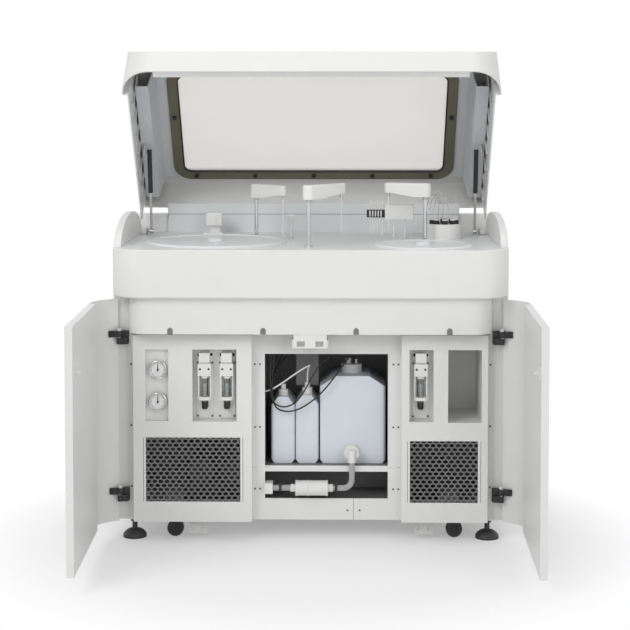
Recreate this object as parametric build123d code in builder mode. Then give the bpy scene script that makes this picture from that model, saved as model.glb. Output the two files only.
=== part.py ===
"""Floor-standing chemistry analyzer: cabinet with two doors, worktop with arms, and a lid on gas struts.

Millimetres. +X is the right of someone who faces it, +Y goes back into it, +Z is up, and the floor is
Z = 0. It is drawn as it stands in use for service: the lid up, both doors open.
"""

import os
from math import atan2, cos, degrees, hypot, pi, radians, sin

from build123d import *

# Overall sizes
WIDTH = 1200.0
DEPTH = 720.0
FRONT = -126.75  # the housing's front face, which puts the origin under the middle of the opened object
CORNER_R = 100.0
RUN_GAP = 0.3  # clearance beside a moving or curved piece
FIT_GAP = 0.06  # radial clearance of a shaft in its bore

# Heights
BASE_Z = 60.0
BASE_H = 50.0
HOUSING_Z = 750.0
DECK_Z = 896.0
HOUSING_WALL = 5.0
HOUSING_FLOOR = 4.0
SHEET = 2.0

# Frame
RING_DEPTH = 107.0
TUBE = 40.0
POST_OUT = 596.0
POST_IN = 552.0
POST_FRONT = 100.0
STRIP_IN = 540.5
STRIP_FRONT = 92.0
SKIN = 3.0

# Rear panel
INLET_X = -420.0
INLET_Z = 200.0
INLET_W = 48.0
INLET_H = 58.0
SLOT_W = 60.0
SLOT_H = 6.0

# Deck and rear wall
DECK_T = 4.0
LEDGE = 8.0
WALL_DEPTH = 631.0
WALL_HALF = 489.0
WALL_TOP = 992.0
REAR_BOX_DEPTH = 640.0
REAR_BOX_TOP = 955.0

# Side cheeks of the housing
CHEEK_IN = 577.0
CHEEK_MID = 367.0
CHEEK_A = 265.0
CHEEK_B = 87.0

# Lid, drawn closed in its own frame at the hinge and turned up by LID_OPEN
LID_OPEN = 51.0
LID_HINGE_DEPTH = 645.0
LID_HINGE_Z = 985.0
LID_WALL = 4.0
LID_NOSE = 588.0
LID_SIDE = 572.0
LID_FRONT = -642.0
LID_NOSE_END = -547.0
LID_RIM = -86.0
LID_BAND = 98.0
LID_SLOPE_END = -548.0
LID_TOP = 130.0
LID_REAR = 14.0
LID_PANEL = 115.0
PANEL_HALF = 507.0
STRIP_HALF = 520.0
STRIP_EDGE = 561.0
STRIP_LEVEL = 15.0
LINER_T = 3.0
WINDOW_HALF = 440.0
WINDOW_REAR = -53.0
WINDOW_FRONT = -470.0
TRIM_W = 33.0
TRIM_T = 5.0
TRIM_R = 60.0
GLASS_T = 4.0

LID_REAR_LOW = 4.0
LID_CORNER_R = 88.0
LID_RIM_W = 25.0
LID_RIM_LIFT = 6.5
LID_RIM_HALF = 487.0
LID_HINGES = (-380.0, 0.0, 380.0)
KNUCKLE = 30.0
KNUCKLE_R = 6.0
LINING_FRONT = -500.0
LINING_REAR = -24.0
PANE_LAP = 15.0
RIBS = 7
RIB_FIRST = -478.0
RIB_PITCH = 70.0
STUD_PLATE_X = 546.0
BOLT_PITCH = 199.0
BOLT_SIDE_Y = -293.0
BOLT_R = 7.0
BOLT_H = 6.0

# Gas struts
STRUT_X = 532.0
STRUT_LOW_DEPTH = 530.0
STRUT_LOW_Z = 908.0
STRUT_TOP_Y = -252.0
STRUT_TOP_Z = -15.0
STRUT_BODY_R = 7.5
STRUT_BODY_L = 130.0
STRUT_ROD_R = 4.0
STRUT_ROD_L = 136.0
STRUT_EYE_W = 14.0
STRUT_EYE_R = 8.0
STRUT_PIN_R = 3.5

# Doors, drawn closed about their hinge line and turned out by DOOR_OPEN
DOOR_OPEN = 89.0
DOOR_Z = 56.0
DOOR_H = 682.0
DOOR_T = 21.0
DOOR_SKIN = 5.0
DOOR_SHEET = 2.0
DOOR_BOX_END = 480.0
DOOR_ARC = 74.0
DOOR_GAP = 2.0
DOOR_HINGE_X = 580.0
DOOR_HINGE_DEPTH = 78.0
HINGE_LOW_Z = 120.0
HINGE_HIGH_Z = 602.0
HINGE_H = 40.0
HINGE_R = 8.0
HINGE_PIN_R = 3.0

PEG_X = 28.0
PEG_L = 17.0
CATCH_MID_Z = 611.0

CATCH_HALF = 54.0

# Apron
APRON_HALF = 550.0
APRON_FRONT = 24.0
APRON_Z = 640.0
APRON_R = 60.0

# Inner front panels
PANEL_FRONT = 70.0
PANEL_Z = 59.0
PANEL_TOP = 632.0
LEFT_PANEL = (-538.0, -178.0)
RIGHT_PANEL = (276.0, 538.0)
GAUGE_BAY = (-500.0, -431.0)
GAUGE_BAY_Z = (368.0, 587.0)
SYRINGE_BAY_LEFT = (-358.0, -224.0)
SYRINGE_BAY_RIGHT = (300.0, 373.0)
SYRINGE_BAY_Z = (367.0, 587.0)
POCKET = (417.0, 519.0)
POCKET_Z = (365.0, 587.0)
POCKET_DEPTH = 230.0
RECESS_DEPTH = 42.0
GAUGE_RECESS_DEPTH = 14.0
GRILLE_LEFT = (-500.0, -213.0)
GRILLE_LEFT_Z = (121.0, 318.0)
GRILLE_RIGHT = (302.0, 508.0)
GRILLE_RIGHT_Z = (120.0, 309.0)
GRILLE_PITCH = 24.5
GRILLE_HOLE = 19.0
GRILLE_T = 1.5

# Middle frame and the bay behind it
MIDDLE = (-178.0, 276.0)
MIDDLE_FRONT = 105.0
BAY = (-139.5, 236.0)
BAY_Z = (225.0, 569.0)
TRAY_Z = (124.0, 207.0)
BAY_DEPTH = 340.0
BRACKET = (-46.0, 23.0)
BRACKET_Z = 455.0

# Containers
TANK_FRONT = 140.0
LARGE_TANK = (28.0, 230.0)
LARGE_TANK_TOP = 495.0
LARGE_TANK_DEPTH = 170.0
SMALL_TANK_A = (-122.0, -49.0)
SMALL_TANK_B = (-47.0, 24.0)
SMALL_TANK_A_TOP = 430.0
SMALL_TANK_B_TOP = 435.0
SMALL_TANK_DEPTH = 150.0
LARGE_CAP_R = 32.0
LARGE_CAP_X = 126.0
CAP_H = 26.0
DRAIN_Z = 264.0
HOSE_R = 9.0
FILTER = (-45.0, 52.0)
FILTER_Z = 159.0
FILTER_R = 23.0
DRAIN_LINE_DEPTH = 94.0

SHELF_T = 17.0
TRAY_DEPTH = 250.0
BRACKET_DEPTH = 205.0
TANK_MIDDLE = 225.0
SMALL_CAP_DEPTH = 178.0
BAY_TUBE_R = 2.5
BAY_TUBE_TOP = BAY_Z[1] + 2
BAY_TUBES = (
    (
        (-120.0, 118.0, BAY_TUBE_TOP),
        (-131.0, 118.0, 430.0),
        (-85.0, 118.0, 396.0),
        (-33.0, 118.0, 423.0),
        (23.0, 118.0, 534.0),
        (60.0, 118.0, 555.0),
        (60.0, 118.0, BAY_TUBE_TOP),
    ),
    (
        (-108.0, 124.0, BAY_TUBE_TOP),
        (-134.0, 124.0, 410.0),
        (-60.0, 124.0, 378.0),
        (30.0, 124.0, 436.0),
        (106.0, 124.0, 540.0),
        (118.0, 124.0, 556.0),
        (118.0, 124.0, BAY_TUBE_TOP),
    ),
    (
        (BAY[0], 130.0, 450.0),
        (-122.0, 130.0, 450.0),
        (-33.0, 130.0, 514.0),
        (2.0, 132.0, 533.0),
        (-11.5, 178.0, 512.0),
        (-11.5, 178.0, SMALL_TANK_B_TOP + 34),
    ),
)

# Gauges
GAUGE_X = -463.0
GAUGE_LEVELS = (525.0, 427.0)
GAUGE_R = 27.0
GAUGE_BEZEL = 3.0
GAUGE_BODY = 16.0
NEEDLE_L = 17.0

# Syringe modules
SYRINGES = (-322.0, -254.5, 335.0)
BARREL_Z = (440.0, 497.0)
BARREL_R = 8.0
BARREL_BORE = 5.0
PLUNGER_TRAVEL = 30.0
KNOB_Z = (404.0, 426.0)
KNOB_R = 8.0
SYRINGE_W = 40.0

SPINDLE_R = 1.5
PLUNGER_R = 3.0
VALVE_Z = (505.0, 542.0)

# Disc covers: X, depth, radius; the turning discs under two of them
COVERS = ((-300.0, 272.0, 220.0), (345.0, 162.0, 150.0))
COVER_H = 6.0
DISC_TOP = 880.0
DISC_H = 60.0
HUB_R = 25.0

COVER_SEAT = 12.0
DISC_NAMES = ("reagent_disc", "reaction_disc")

# Dispensing arms: name, shaft X and depth, tip X and depth, underside, top, tip level
ARMS = (
    ("reagent_arm", -184.0, 490.0, -94.0, 394.0, 1022.0, 1066.0, 903.0),
    ("sample_arm", -6.0, 112.0, 94.0, 232.0, 1040.0, 1083.0, 925.0),
    ("second_reagent_arm", 359.0, 335.0, 243.0, 361.0, 1034.0, 1078.0, 925.0),
)
ARM_W = 36.0
SHAFT_R = 6.0
SHAFT_END_Z = 790.0
PROBE_R = 1.6
MIXER_X = -68.0
MIXER_DEPTH = 360.0
MIXER_TOP = 971.0
WASH_X = 281.0
WASH_DEPTH = 440.0
WASH_HEAD_Z = (956.0, 1003.0)
WASH_HEAD_HALF = 47.0
CUP_X = 424.0
CUP_DEPTH = 410.0
CUP_R = 54.0
CUP_H = 48.0
READER_X = -331.0
READER_DEPTH = 560.0

MIXER_PITCH = 14.0
MIXER_R = 2.5
WASH_RODS = 36.0
NEEDLE_BAR_L = 56.0
NEEDLES = 6
NEEDLE_PITCH = 8.0
GUIDE_TOP = 866.0
SHAFTS = [(arm[1], arm[2], SHAFT_R) for arm in ARMS]
SHAFTS += [(MIXER_X + side * MIXER_PITCH / 2, MIXER_DEPTH, MIXER_R) for side in (-1, 1)]
SHAFTS += [(WASH_X + side * WASH_RODS / 2, WASH_DEPTH, MIXER_R + 1) for side in (-1, 1)]

# Feet and casters
FOOT_X = 541.0
FOOT_DEPTHS = (122.0, 690.0)
FOOT_R = 36.0
FOOT_H = 30.0
STEM_R = 8.0
CASTER_X = 428.0
CASTER_DEPTHS = (127.0, 640.0)
WHEEL_R = 25.0
WHEEL_W = 24.0
WHEEL_LIFT = 2.0
AXLE_R = 4.0
CASTER_TRAIL = 12.0
TAB_X = 345.0
TAB_W = 54.0
TAB_HOLES = 32.0
TAB_HOLE_R = 4.5
TAB_Z = 14.0
TAB_HOLE_Z = 31.0
FORK_T = 4.0
AXLE_Z = WHEEL_R + WHEEL_LIFT

os.makedirs("parts", exist_ok=True)


def block(x, y, z, mode=Mode.ADD):
    """A box that spans the three given ranges, the second one as depths behind the front face."""
    size = [high - low for low, high in (x, y, z)]
    middle = ((x[0] + x[1]) / 2, FRONT + (y[0] + y[1]) / 2, (z[0] + z[1]) / 2)
    with Locations(middle):
        Box(*size, mode=mode)


def rod(x, depth, z, r, mode=Mode.ADD):
    """An upright cylinder between two heights."""
    with Locations((x, FRONT + depth, (z[0] + z[1]) / 2)):
        Cylinder(r, z[1] - z[0], mode=mode)


def bar_x(x, depth, z, r, mode=Mode.ADD):
    """A cylinder along X between two places."""
    with Locations(Location(((x[0] + x[1]) / 2, FRONT + depth, z), (0, 90, 0))):
        Cylinder(r, x[1] - x[0], mode=mode)


def bar_y(x, depth, z, r, mode=Mode.ADD):
    """A cylinder along Y between two depths."""
    with Locations(Location((x, FRONT + (depth[0] + depth[1]) / 2, z), (90, 0, 0))):
        Cylinder(r, depth[1] - depth[0], mode=mode)


def save(name, part):
    """Labels a finished piece and writes its file."""
    part.label = name
    export_step(part, f"parts/{name}.step")


def rounded_plan(half, front, rear, front_r, rear_r):
    """A plan outline, in depths behind the front face, with its own radius at the front and the rear."""
    with BuildSketch() as outline:
        with Locations((0, FRONT + (front + rear) / 2)):
            Rectangle(2 * half, rear - front)
        corners = outline.vertices().group_by(Axis.Y)
        fillet(corners[0], front_r)
        if rear_r:
            fillet(outline.vertices().group_by(Axis.Y)[-1], rear_r)
    return outline.sketch


# Base frame: a ring of square tube below and above, four posts, caster rails, anchor tabs
with BuildPart() as base_frame:
    for low in (BASE_Z, HOUSING_Z - BASE_H):
        ring = ((-POST_OUT, POST_OUT), (RING_DEPTH, DEPTH - 6))
        hole = ((TUBE - POST_OUT, POST_OUT - TUBE), (RING_DEPTH + TUBE, DEPTH - 6 - TUBE))
        block(*ring, (low, low + BASE_H))
        block(*hole, (low, low + BASE_H), Mode.SUBTRACT)
    for side in (-1, 1):
        rail = sorted((side * (CASTER_X - 30), side * (CASTER_X + 30)))
        block(rail, (RING_DEPTH, DEPTH - 6), (BASE_Z, BASE_Z + BASE_H))
        post = sorted((side * POST_IN, side * POST_OUT))
        block(post, (POST_FRONT, POST_FRONT + TUBE), (BASE_Z, HOUSING_Z))
        block(post, (DEPTH - 6 - TUBE, DEPTH - 6), (BASE_Z, HOUSING_Z))
        strip = sorted((side * STRIP_IN, side * POST_IN))
        block(strip, (STRIP_FRONT, RING_DEPTH + SHEET), (BASE_Z, APRON_Z))
        tab = (side * TAB_X - TAB_W / 2, side * TAB_X + TAB_W / 2)
        block(tab, (RING_DEPTH - SKIN, RING_DEPTH), (TAB_Z, BASE_Z + 8))
        for hole_x in (-TAB_HOLES / 2, TAB_HOLES / 2):
            through = (RING_DEPTH - 2 * SKIN, RING_DEPTH + SKIN)
            bar_y(side * TAB_X + hole_x, through, TAB_HOLE_Z, TAB_HOLE_R, Mode.SUBTRACT)
        # Fixed fork of the rear caster: a plate under the rail and two legs beside the wheel
        caster_x = side * CASTER_X
        rear_fork = (CASTER_DEPTHS[1] - 26, CASTER_DEPTHS[1] + 26)
        block((caster_x - 24, caster_x + 24), rear_fork, (BASE_Z - FORK_T, BASE_Z))
        for leg in (-1, 1):
            leg_x = sorted((caster_x + leg * (WHEEL_W / 2 + RUN_GAP), caster_x + leg * (WHEEL_W / 2 + FORK_T)))
            block(leg_x, (CASTER_DEPTHS[1] - 9, CASTER_DEPTHS[1] + 9), (AXLE_Z - 8, BASE_Z))
        axle = (caster_x - WHEEL_W / 2 - FORK_T, caster_x + WHEEL_W / 2 + FORK_T)
        bar_x(axle, CASTER_DEPTHS[1], AXLE_Z, AXLE_R)
    floor = ((TUBE - POST_OUT, POST_OUT - TUBE), (RING_DEPTH + TUBE, DEPTH - 6 - TUBE), (BASE_Z, BASE_Z + SKIN))
    block(*floor)
save("base_frame", base_frame.part)

# Side panels: flat sheets with a return along the front edge
with BuildPart() as side_panels:
    for side in (-1, 1):
        sheet = sorted((side * (WIDTH / 2 - SKIN), side * WIDTH / 2))
        block(sheet, (POST_FRONT + 4, DEPTH - SKIN), (BASE_Z + 2, HOUSING_Z))
        lip = sorted((side * POST_OUT, side * WIDTH / 2))
        block(lip, (POST_FRONT + 4, POST_FRONT + 8), (BASE_Z + 2, HOUSING_Z))
save("side_panels", side_panels.part)

# Rear panel with two fields of cooling slots and the cut-out of the power inlet
with BuildPart() as rear_panel:
    block((-POST_OUT, POST_OUT), (DEPTH - 6, DEPTH - SKIN), (BASE_Z + 2, HOUSING_Z))
    for field_x in (-250.0, 250.0):
        with Locations(Location((field_x, FRONT + DEPTH - 4, 470.0), (90, 0, 0))):
            with GridLocations(SLOT_W + 14, 22.0, 3, 8):
                Box(SLOT_W, SLOT_H, 12, mode=Mode.SUBTRACT)
    block(
        (INLET_X - INLET_W / 2, INLET_X + INLET_W / 2),
        (DEPTH - 10, DEPTH),
        (INLET_Z - INLET_H / 2, INLET_Z + INLET_H / 2),
        Mode.SUBTRACT,
    )
save("rear_panel", rear_panel.part)

# Power inlet: a flange and a body with its socket, no lead
with BuildPart() as power_inlet:
    block(
        (INLET_X - INLET_W / 2 - 6, INLET_X + INLET_W / 2 + 6),
        (DEPTH - SKIN, DEPTH),
        (INLET_Z - INLET_H / 2 - 6, INLET_Z + INLET_H / 2 + 6),
    )
    block(
        (INLET_X - INLET_W / 2 + 0.5, INLET_X + INLET_W / 2 - 0.5),
        (DEPTH - 40, DEPTH - SKIN),
        (INLET_Z - INLET_H / 2 + 0.5, INLET_Z + INLET_H / 2 - 0.5),
    )
    block((INLET_X - 12, INLET_X + 12), (DEPTH - 22, DEPTH), (INLET_Z - 8, INLET_Z + 8), Mode.SUBTRACT)
    for pin_x, pin_z in ((-7, -3), (7, -3), (0, 3)):
        block(
            (INLET_X + pin_x - 1, INLET_X + pin_x + 1),
            (DEPTH - 22, DEPTH - 6),
            (INLET_Z + pin_z - 2.5, INLET_Z + pin_z + 2.5),
        )
save("power_inlet", power_inlet.part)

# Side cheek of the housing: half an ellipse with a rounded outer edge
with BuildPart() as cheek:
    cheek_foot = DECK_Z - HOUSING_WALL
    with BuildSketch(Plane.YZ.offset(CHEEK_IN)):
        with BuildLine():
            middle = (FRONT + CHEEK_MID, cheek_foot)
            EllipticalCenterArc(middle, CHEEK_A, CHEEK_B + HOUSING_WALL, start_angle=0, arc_size=180)
            Line((FRONT + CHEEK_MID - CHEEK_A, cheek_foot), (FRONT + CHEEK_MID + CHEEK_A, cheek_foot))
        make_face()
    extrude(amount=WIDTH / 2 - CHEEK_IN - 0.5)
    fillet(cheek.edges().filter_by(GeomType.ELLIPSE).sort_by(Axis.X)[-1], 7.0)

# Upper housing: a moulded tray with rounded corners, a ledge for the deck, two cheeks and a rear box
with BuildPart() as upper_housing:
    extrude(rounded_plan(WIDTH / 2, 0, DEPTH, CORNER_R, 12.0).moved(Location((0, 0, HOUSING_Z))), DECK_Z - HOUSING_Z)
    rim = upper_housing.faces().filter_by(GeomType.PLANE).group_by(Axis.Z)
    fillet(rim[0].edges(), 7.0)
    fillet(upper_housing.faces().sort_by(Axis.Z)[-1].edges(), 2.5)
    inner = WIDTH / 2 - HOUSING_WALL
    inner_plan = rounded_plan(inner, HOUSING_WALL, DEPTH - HOUSING_WALL, CORNER_R - HOUSING_WALL, 7.0)
    ledge_plan = rounded_plan(
        inner - LEDGE, HOUSING_WALL + LEDGE, DEPTH - HOUSING_WALL - LEDGE, CORNER_R - HOUSING_WALL - LEDGE, 0
    )
    extrude(inner_plan.moved(Location((0, 0, DECK_Z - DECK_T))), DECK_T, mode=Mode.SUBTRACT)
    extrude(ledge_plan.moved(Location((0, 0, DECK_Z - 2 * DECK_T))), DECK_T, mode=Mode.SUBTRACT)
    floor_z = HOUSING_Z + HOUSING_FLOOR
    extrude(inner_plan.moved(Location((0, 0, floor_z))), DECK_Z - 2 * DECK_T - floor_z, mode=Mode.SUBTRACT)
    # The rear box stands behind the deck's rear wall, open below
    block((-inner, inner), (REAR_BOX_DEPTH, DEPTH - HOUSING_WALL), (DECK_Z - 2 * DECK_T, REAR_BOX_TOP))
    block(
        (HOUSING_WALL - inner, inner - HOUSING_WALL),
        (REAR_BOX_DEPTH + HOUSING_WALL, DEPTH - 2 * HOUSING_WALL),
        (DECK_Z - 3 * DECK_T, REAR_BOX_TOP - HOUSING_WALL),
        Mode.SUBTRACT,
    )
    add(cheek.part)
    mirror(cheek.part, about=Plane.YZ)
    # Finger scoop in the front rim, a shallow rounded step
    with BuildSketch(Plane.XZ.offset(-FRONT)) as scoop:
        with Locations((0, DECK_Z - 10)):
            RectangleRounded(242.0, 24.0, 6.0)
    extrude(amount=-1.6, mode=Mode.SUBTRACT)
save("upper_housing", upper_housing.part)

# Deck: a plate on the ledge with openings under the disc covers and for every shaft, and its rear wall
with BuildPart() as deck:
    deck_edge = HOUSING_WALL + RUN_GAP
    deck_plan = rounded_plan(
        WIDTH / 2 - deck_edge, deck_edge, REAR_BOX_DEPTH - RUN_GAP, CORNER_R - deck_edge, 0
    )
    extrude(deck_plan.moved(Location((0, 0, DECK_Z - DECK_T))), DECK_T)
    for side in (-1, 1):
        notch = sorted((side * (CHEEK_IN - RUN_GAP), side * WIDTH / 2))
        cheek_span = (CHEEK_MID - CHEEK_A - RUN_GAP, REAR_BOX_DEPTH)
        block(notch, cheek_span, (DECK_Z - DECK_T, DECK_Z), Mode.SUBTRACT)
    for cover_x, cover_depth, cover_r in COVERS:
        rod(cover_x, cover_depth, (DECK_Z - DECK_T, DECK_Z), cover_r - COVER_SEAT, Mode.SUBTRACT)
    for shaft_x, shaft_depth, shaft_r in SHAFTS:
        rod(shaft_x, shaft_depth, (DECK_Z - DECK_T, DECK_Z), shaft_r + 1.0, Mode.SUBTRACT)
    block((-WALL_HALF, WALL_HALF), (WALL_DEPTH, WALL_DEPTH + DECK_T), (DECK_Z - DECK_T, WALL_TOP))
save("deck", deck.part)

# Disc covers: shallow lids with a rolled rim, seated in the deck's openings
with BuildPart() as disc_covers:
    for cover_x, cover_depth, cover_r in COVERS:
        with BuildSketch(Plane.XZ.offset(-(FRONT + cover_depth))) as cover_profile:
            with BuildLine():
                Polyline(
                    (cover_x, DECK_Z),
                    (cover_x + cover_r, DECK_Z),
                    (cover_x + cover_r, DECK_Z + 2.5),
                    (cover_x + cover_r - 5, DECK_Z + COVER_H),
                    (cover_x + cover_r - 16, DECK_Z + COVER_H),
                    (cover_x + cover_r - 20, DECK_Z + 3),
                    (cover_x, DECK_Z + 3),
                    close=True,
                )
            make_face()
        revolve(axis=Axis((cover_x, FRONT + cover_depth, 0), (0, 0, 1)))
        rod(cover_x, cover_depth, (DECK_Z, DECK_Z + 12), 24.0)
save("disc_covers", disc_covers.part)

# Discs under the covers: a hub on the housing floor and a plate with a step
for disc_name, (disc_x, disc_depth, cover_r) in zip(DISC_NAMES, COVERS):
    disc_r = cover_r - 25
    with BuildPart() as disc:
        rod(disc_x, disc_depth, (HOUSING_Z + HOUSING_FLOOR + RUN_GAP, DISC_TOP), HUB_R)
        rod(disc_x, disc_depth, (DISC_TOP - DISC_H, DISC_TOP - 12), disc_r)
        rod(disc_x, disc_depth, (DISC_TOP - 12, DISC_TOP), disc_r - 40)
    save(disc_name, disc.part)

# Guides of the shafts: blocks on the housing floor with running bores
with BuildPart() as shaft_guides:
    for shaft_x, shaft_depth, shaft_r in SHAFTS:
        guide_w = 2 * shaft_r + 8
        span_x = (shaft_x - guide_w / 2, shaft_x + guide_w / 2)
        span_y = (shaft_depth - guide_w, shaft_depth + guide_w)
        block(span_x, span_y, (HOUSING_Z + HOUSING_FLOOR, GUIDE_TOP))
        rod(shaft_x, shaft_depth, (HOUSING_Z + HOUSING_FLOOR, GUIDE_TOP), shaft_r + FIT_GAP, Mode.SUBTRACT)
save("shaft_guides", shaft_guides.part)

# Dispensing arms: a shaft, and an arm with its probe that turns on it
for arm_name, shaft_x, shaft_depth, tip_x, tip_depth, under, top, tip_z in ARMS:
    reach = hypot(tip_x - shaft_x, tip_depth - shaft_depth)
    turn = degrees(atan2(tip_depth - shaft_depth, tip_x - shaft_x))
    arm_place = Plane((shaft_x, FRONT + shaft_depth, under), x_dir=(cos(radians(turn)), sin(radians(turn)), 0))
    with BuildPart() as shaft:
        rod(shaft_x, shaft_depth, (SHAFT_END_Z, under), SHAFT_R)
    save(arm_name + "_shaft", shaft.part)
    with BuildPart() as arm:
        with BuildSketch(arm_place):
            with BuildLine():
                back = Line((0, ARM_W / 2), (reach, ARM_W / 3))
                ThreePointArc((reach, ARM_W / 3), (reach + ARM_W / 3, 0), (reach, -ARM_W / 3))
                Line((reach, -ARM_W / 3), (0, -ARM_W / 2))
                ThreePointArc((0, -ARM_W / 2), (-ARM_W / 2, 0), (0, ARM_W / 2))
            make_face()
        extrude(amount=top - under)
        fillet(arm.faces().sort_by(Axis.Z)[-1].edges(), 5.0)
        # The underside rises towards the probe
        with BuildSketch(Plane(arm_place.origin, x_dir=arm_place.x_dir, z_dir=-arm_place.y_dir)):
            with BuildLine():
                Polyline((ARM_W, 0), (reach + ARM_W, 0), (reach + ARM_W, 14), (reach - 12, 12), close=True)
            make_face()
        extrude(amount=ARM_W, both=True, mode=Mode.SUBTRACT)
        rod(tip_x, tip_depth, (under + 4, under + 20), 5.0)
        rod(tip_x, tip_depth, (tip_z, under + 20), PROBE_R)
    save(arm_name, arm.part)

# Mixer: two rods with a bar across and a paddle, lifted as one
with BuildPart() as mixer:
    for rod_x in (-MIXER_PITCH / 2, MIXER_PITCH / 2):
        rod(MIXER_X + rod_x, MIXER_DEPTH, (SHAFT_END_Z, MIXER_TOP), MIXER_R)
    block(
        (MIXER_X - MIXER_PITCH, MIXER_X + MIXER_PITCH),
        (MIXER_DEPTH - 6, MIXER_DEPTH + 6),
        (MIXER_TOP, MIXER_TOP + 5),
    )
save("mixer", mixer.part)

# Wash head: a white block on two rods, with a bar of needles at its side
with BuildPart() as wash_head:
    with BuildSketch(Plane.XY.offset(WASH_HEAD_Z[0])):
        with Locations((WASH_X, FRONT + WASH_DEPTH)):
            RectangleRounded(2 * WASH_HEAD_HALF, 40.0, 7.0)
    extrude(amount=WASH_HEAD_Z[1] - WASH_HEAD_Z[0])
    fillet(wash_head.faces().sort_by(Axis.Z)[-1].edges(), 4.0)
    for rod_x in (-WASH_RODS / 2, WASH_RODS / 2):
        rod(WASH_X + rod_x, WASH_DEPTH, (SHAFT_END_Z, WASH_HEAD_Z[0] + 5), MIXER_R + 1)
    needle_bar = (WASH_X - WASH_HEAD_HALF - NEEDLE_BAR_L, WASH_X - WASH_HEAD_HALF + 5)
    block(needle_bar, (WASH_DEPTH - 6, WASH_DEPTH + 6), (WASH_HEAD_Z[0] + 4, WASH_HEAD_Z[0] + 30))
    for number in range(NEEDLES):
        needle_x = needle_bar[0] + 8 + number * NEEDLE_PITCH
        rod(needle_x, WASH_DEPTH, (DECK_Z + 9, WASH_HEAD_Z[1] + 12), 1.6)
save("wash_head", wash_head.part)

# Round cup with its lid of tube ends, on the deck
with BuildPart() as tube_cup:
    rod(CUP_X, CUP_DEPTH, (DECK_Z, DECK_Z + CUP_H), CUP_R)
    rod(CUP_X, CUP_DEPTH, (DECK_Z + CUP_H - 8, DECK_Z + CUP_H), CUP_R - 4, Mode.SUBTRACT)
    with Locations((CUP_X, FRONT + CUP_DEPTH, DECK_Z + CUP_H)):
        with PolarLocations(CUP_R - 17, 8):
            Cylinder(9.0, 30.0)
save("tube_cup", tube_cup.part)

# Small reader on a stand at the left of the deck
with BuildPart() as code_reader:
    block((READER_X - 32, READER_X + 32), (READER_DEPTH - 20, READER_DEPTH + 20), (DECK_Z, DECK_Z + 6))
    block((READER_X - 8, READER_X + 22), (READER_DEPTH, READER_DEPTH + 12), (DECK_Z + 6, DECK_Z + 30))
    with BuildSketch(Plane.XY.offset(DECK_Z + 30)):
        with Locations((READER_X + 4, FRONT + READER_DEPTH)):
            RectangleRounded(52.0, 34.0, 5.0)
    extrude(amount=42.0)
    bar_y(READER_X + 4, (READER_DEPTH - 22, READER_DEPTH - 17), DECK_Z + 50, 9.0)
save("code_reader", code_reader.part)

# Frame of the lid: at the hinge line, turned up; inside it the lid is drawn as if closed
UP = radians(LID_OPEN)
LID = Plane((0, FRONT + LID_HINGE_DEPTH, LID_HINGE_Z), x_dir=(1, 0, 0), z_dir=(0, sin(UP), cos(UP)))
LID_SECTION = Plane(LID.origin, x_dir=LID.y_dir, z_dir=LID.x_dir)
LID_CROSS = Plane(LID.origin, x_dir=LID.x_dir, z_dir=-LID.y_dir)


def lid_block(x, y, z, mode=Mode.ADD):
    """A box that spans the three ranges in the lid's own frame."""
    with BuildSketch(LID.offset(z[0])) as foot:
        with Locations(((x[0] + x[1]) / 2, (y[0] + y[1]) / 2)):
            Rectangle(x[1] - x[0], y[1] - y[0])
    extrude(foot.sketch, amount=z[1] - z[0], mode=mode)


def lid_plan(level, inset):
    """The lid's plan: a nose with rounded corners, and a body that fits between the cheeks."""
    front = LID_FRONT + inset
    with BuildSketch(LID.offset(level)) as plan:
        nose_end = LID_NOSE_END - inset
        with Locations((0, (front + nose_end) / 2)):
            Rectangle(2 * (LID_NOSE - inset), nose_end - front)
        fillet(plan.vertices().sort_by(Axis.Y)[:2], LID_CORNER_R - inset)
        body_start = LID_NOSE_END - CORNER_R / 3
        with Locations((0, (body_start + LID_REAR - inset) / 2)):
            Rectangle(2 * (LID_SIDE - inset), LID_REAR - inset - body_start)
    return plan.sketch


def lid_form(inset):
    """The lid's full body, or with an inset the space inside its walls."""
    with BuildPart() as form:
        with BuildSketch(LID_SECTION) as profile:
            with BuildLine():
                Polyline(
                    (LID_FRONT, LID_RIM),
                    (LID_FRONT, LID_RIM + LID_BAND),
                    (LID_SLOPE_END, LID_TOP),
                    (LID_REAR, LID_TOP),
                    (LID_REAR, LID_REAR_LOW),
                    (-LID_REAR, LID_REAR_LOW),
                    (-LID_REAR, LID_RIM),
                    close=True,
                )
            make_face()
            if inset:
                offset(amount=-inset)
                low = LID_RIM - inset
                with Locations(((LID_FRONT + LID_REAR) / 2, (low + LID_REAR_LOW + 2 * inset) / 2)):
                    Rectangle(LID_REAR - LID_FRONT - 2 * inset, LID_REAR_LOW + 2 * inset - low)
        extrude(amount=LID_NOSE, both=True)
        extrude(lid_plan(LID_RIM - 2 * LID_WALL, inset), amount=2 * LID_TOP, mode=Mode.INTERSECT)
    return form.part


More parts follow.
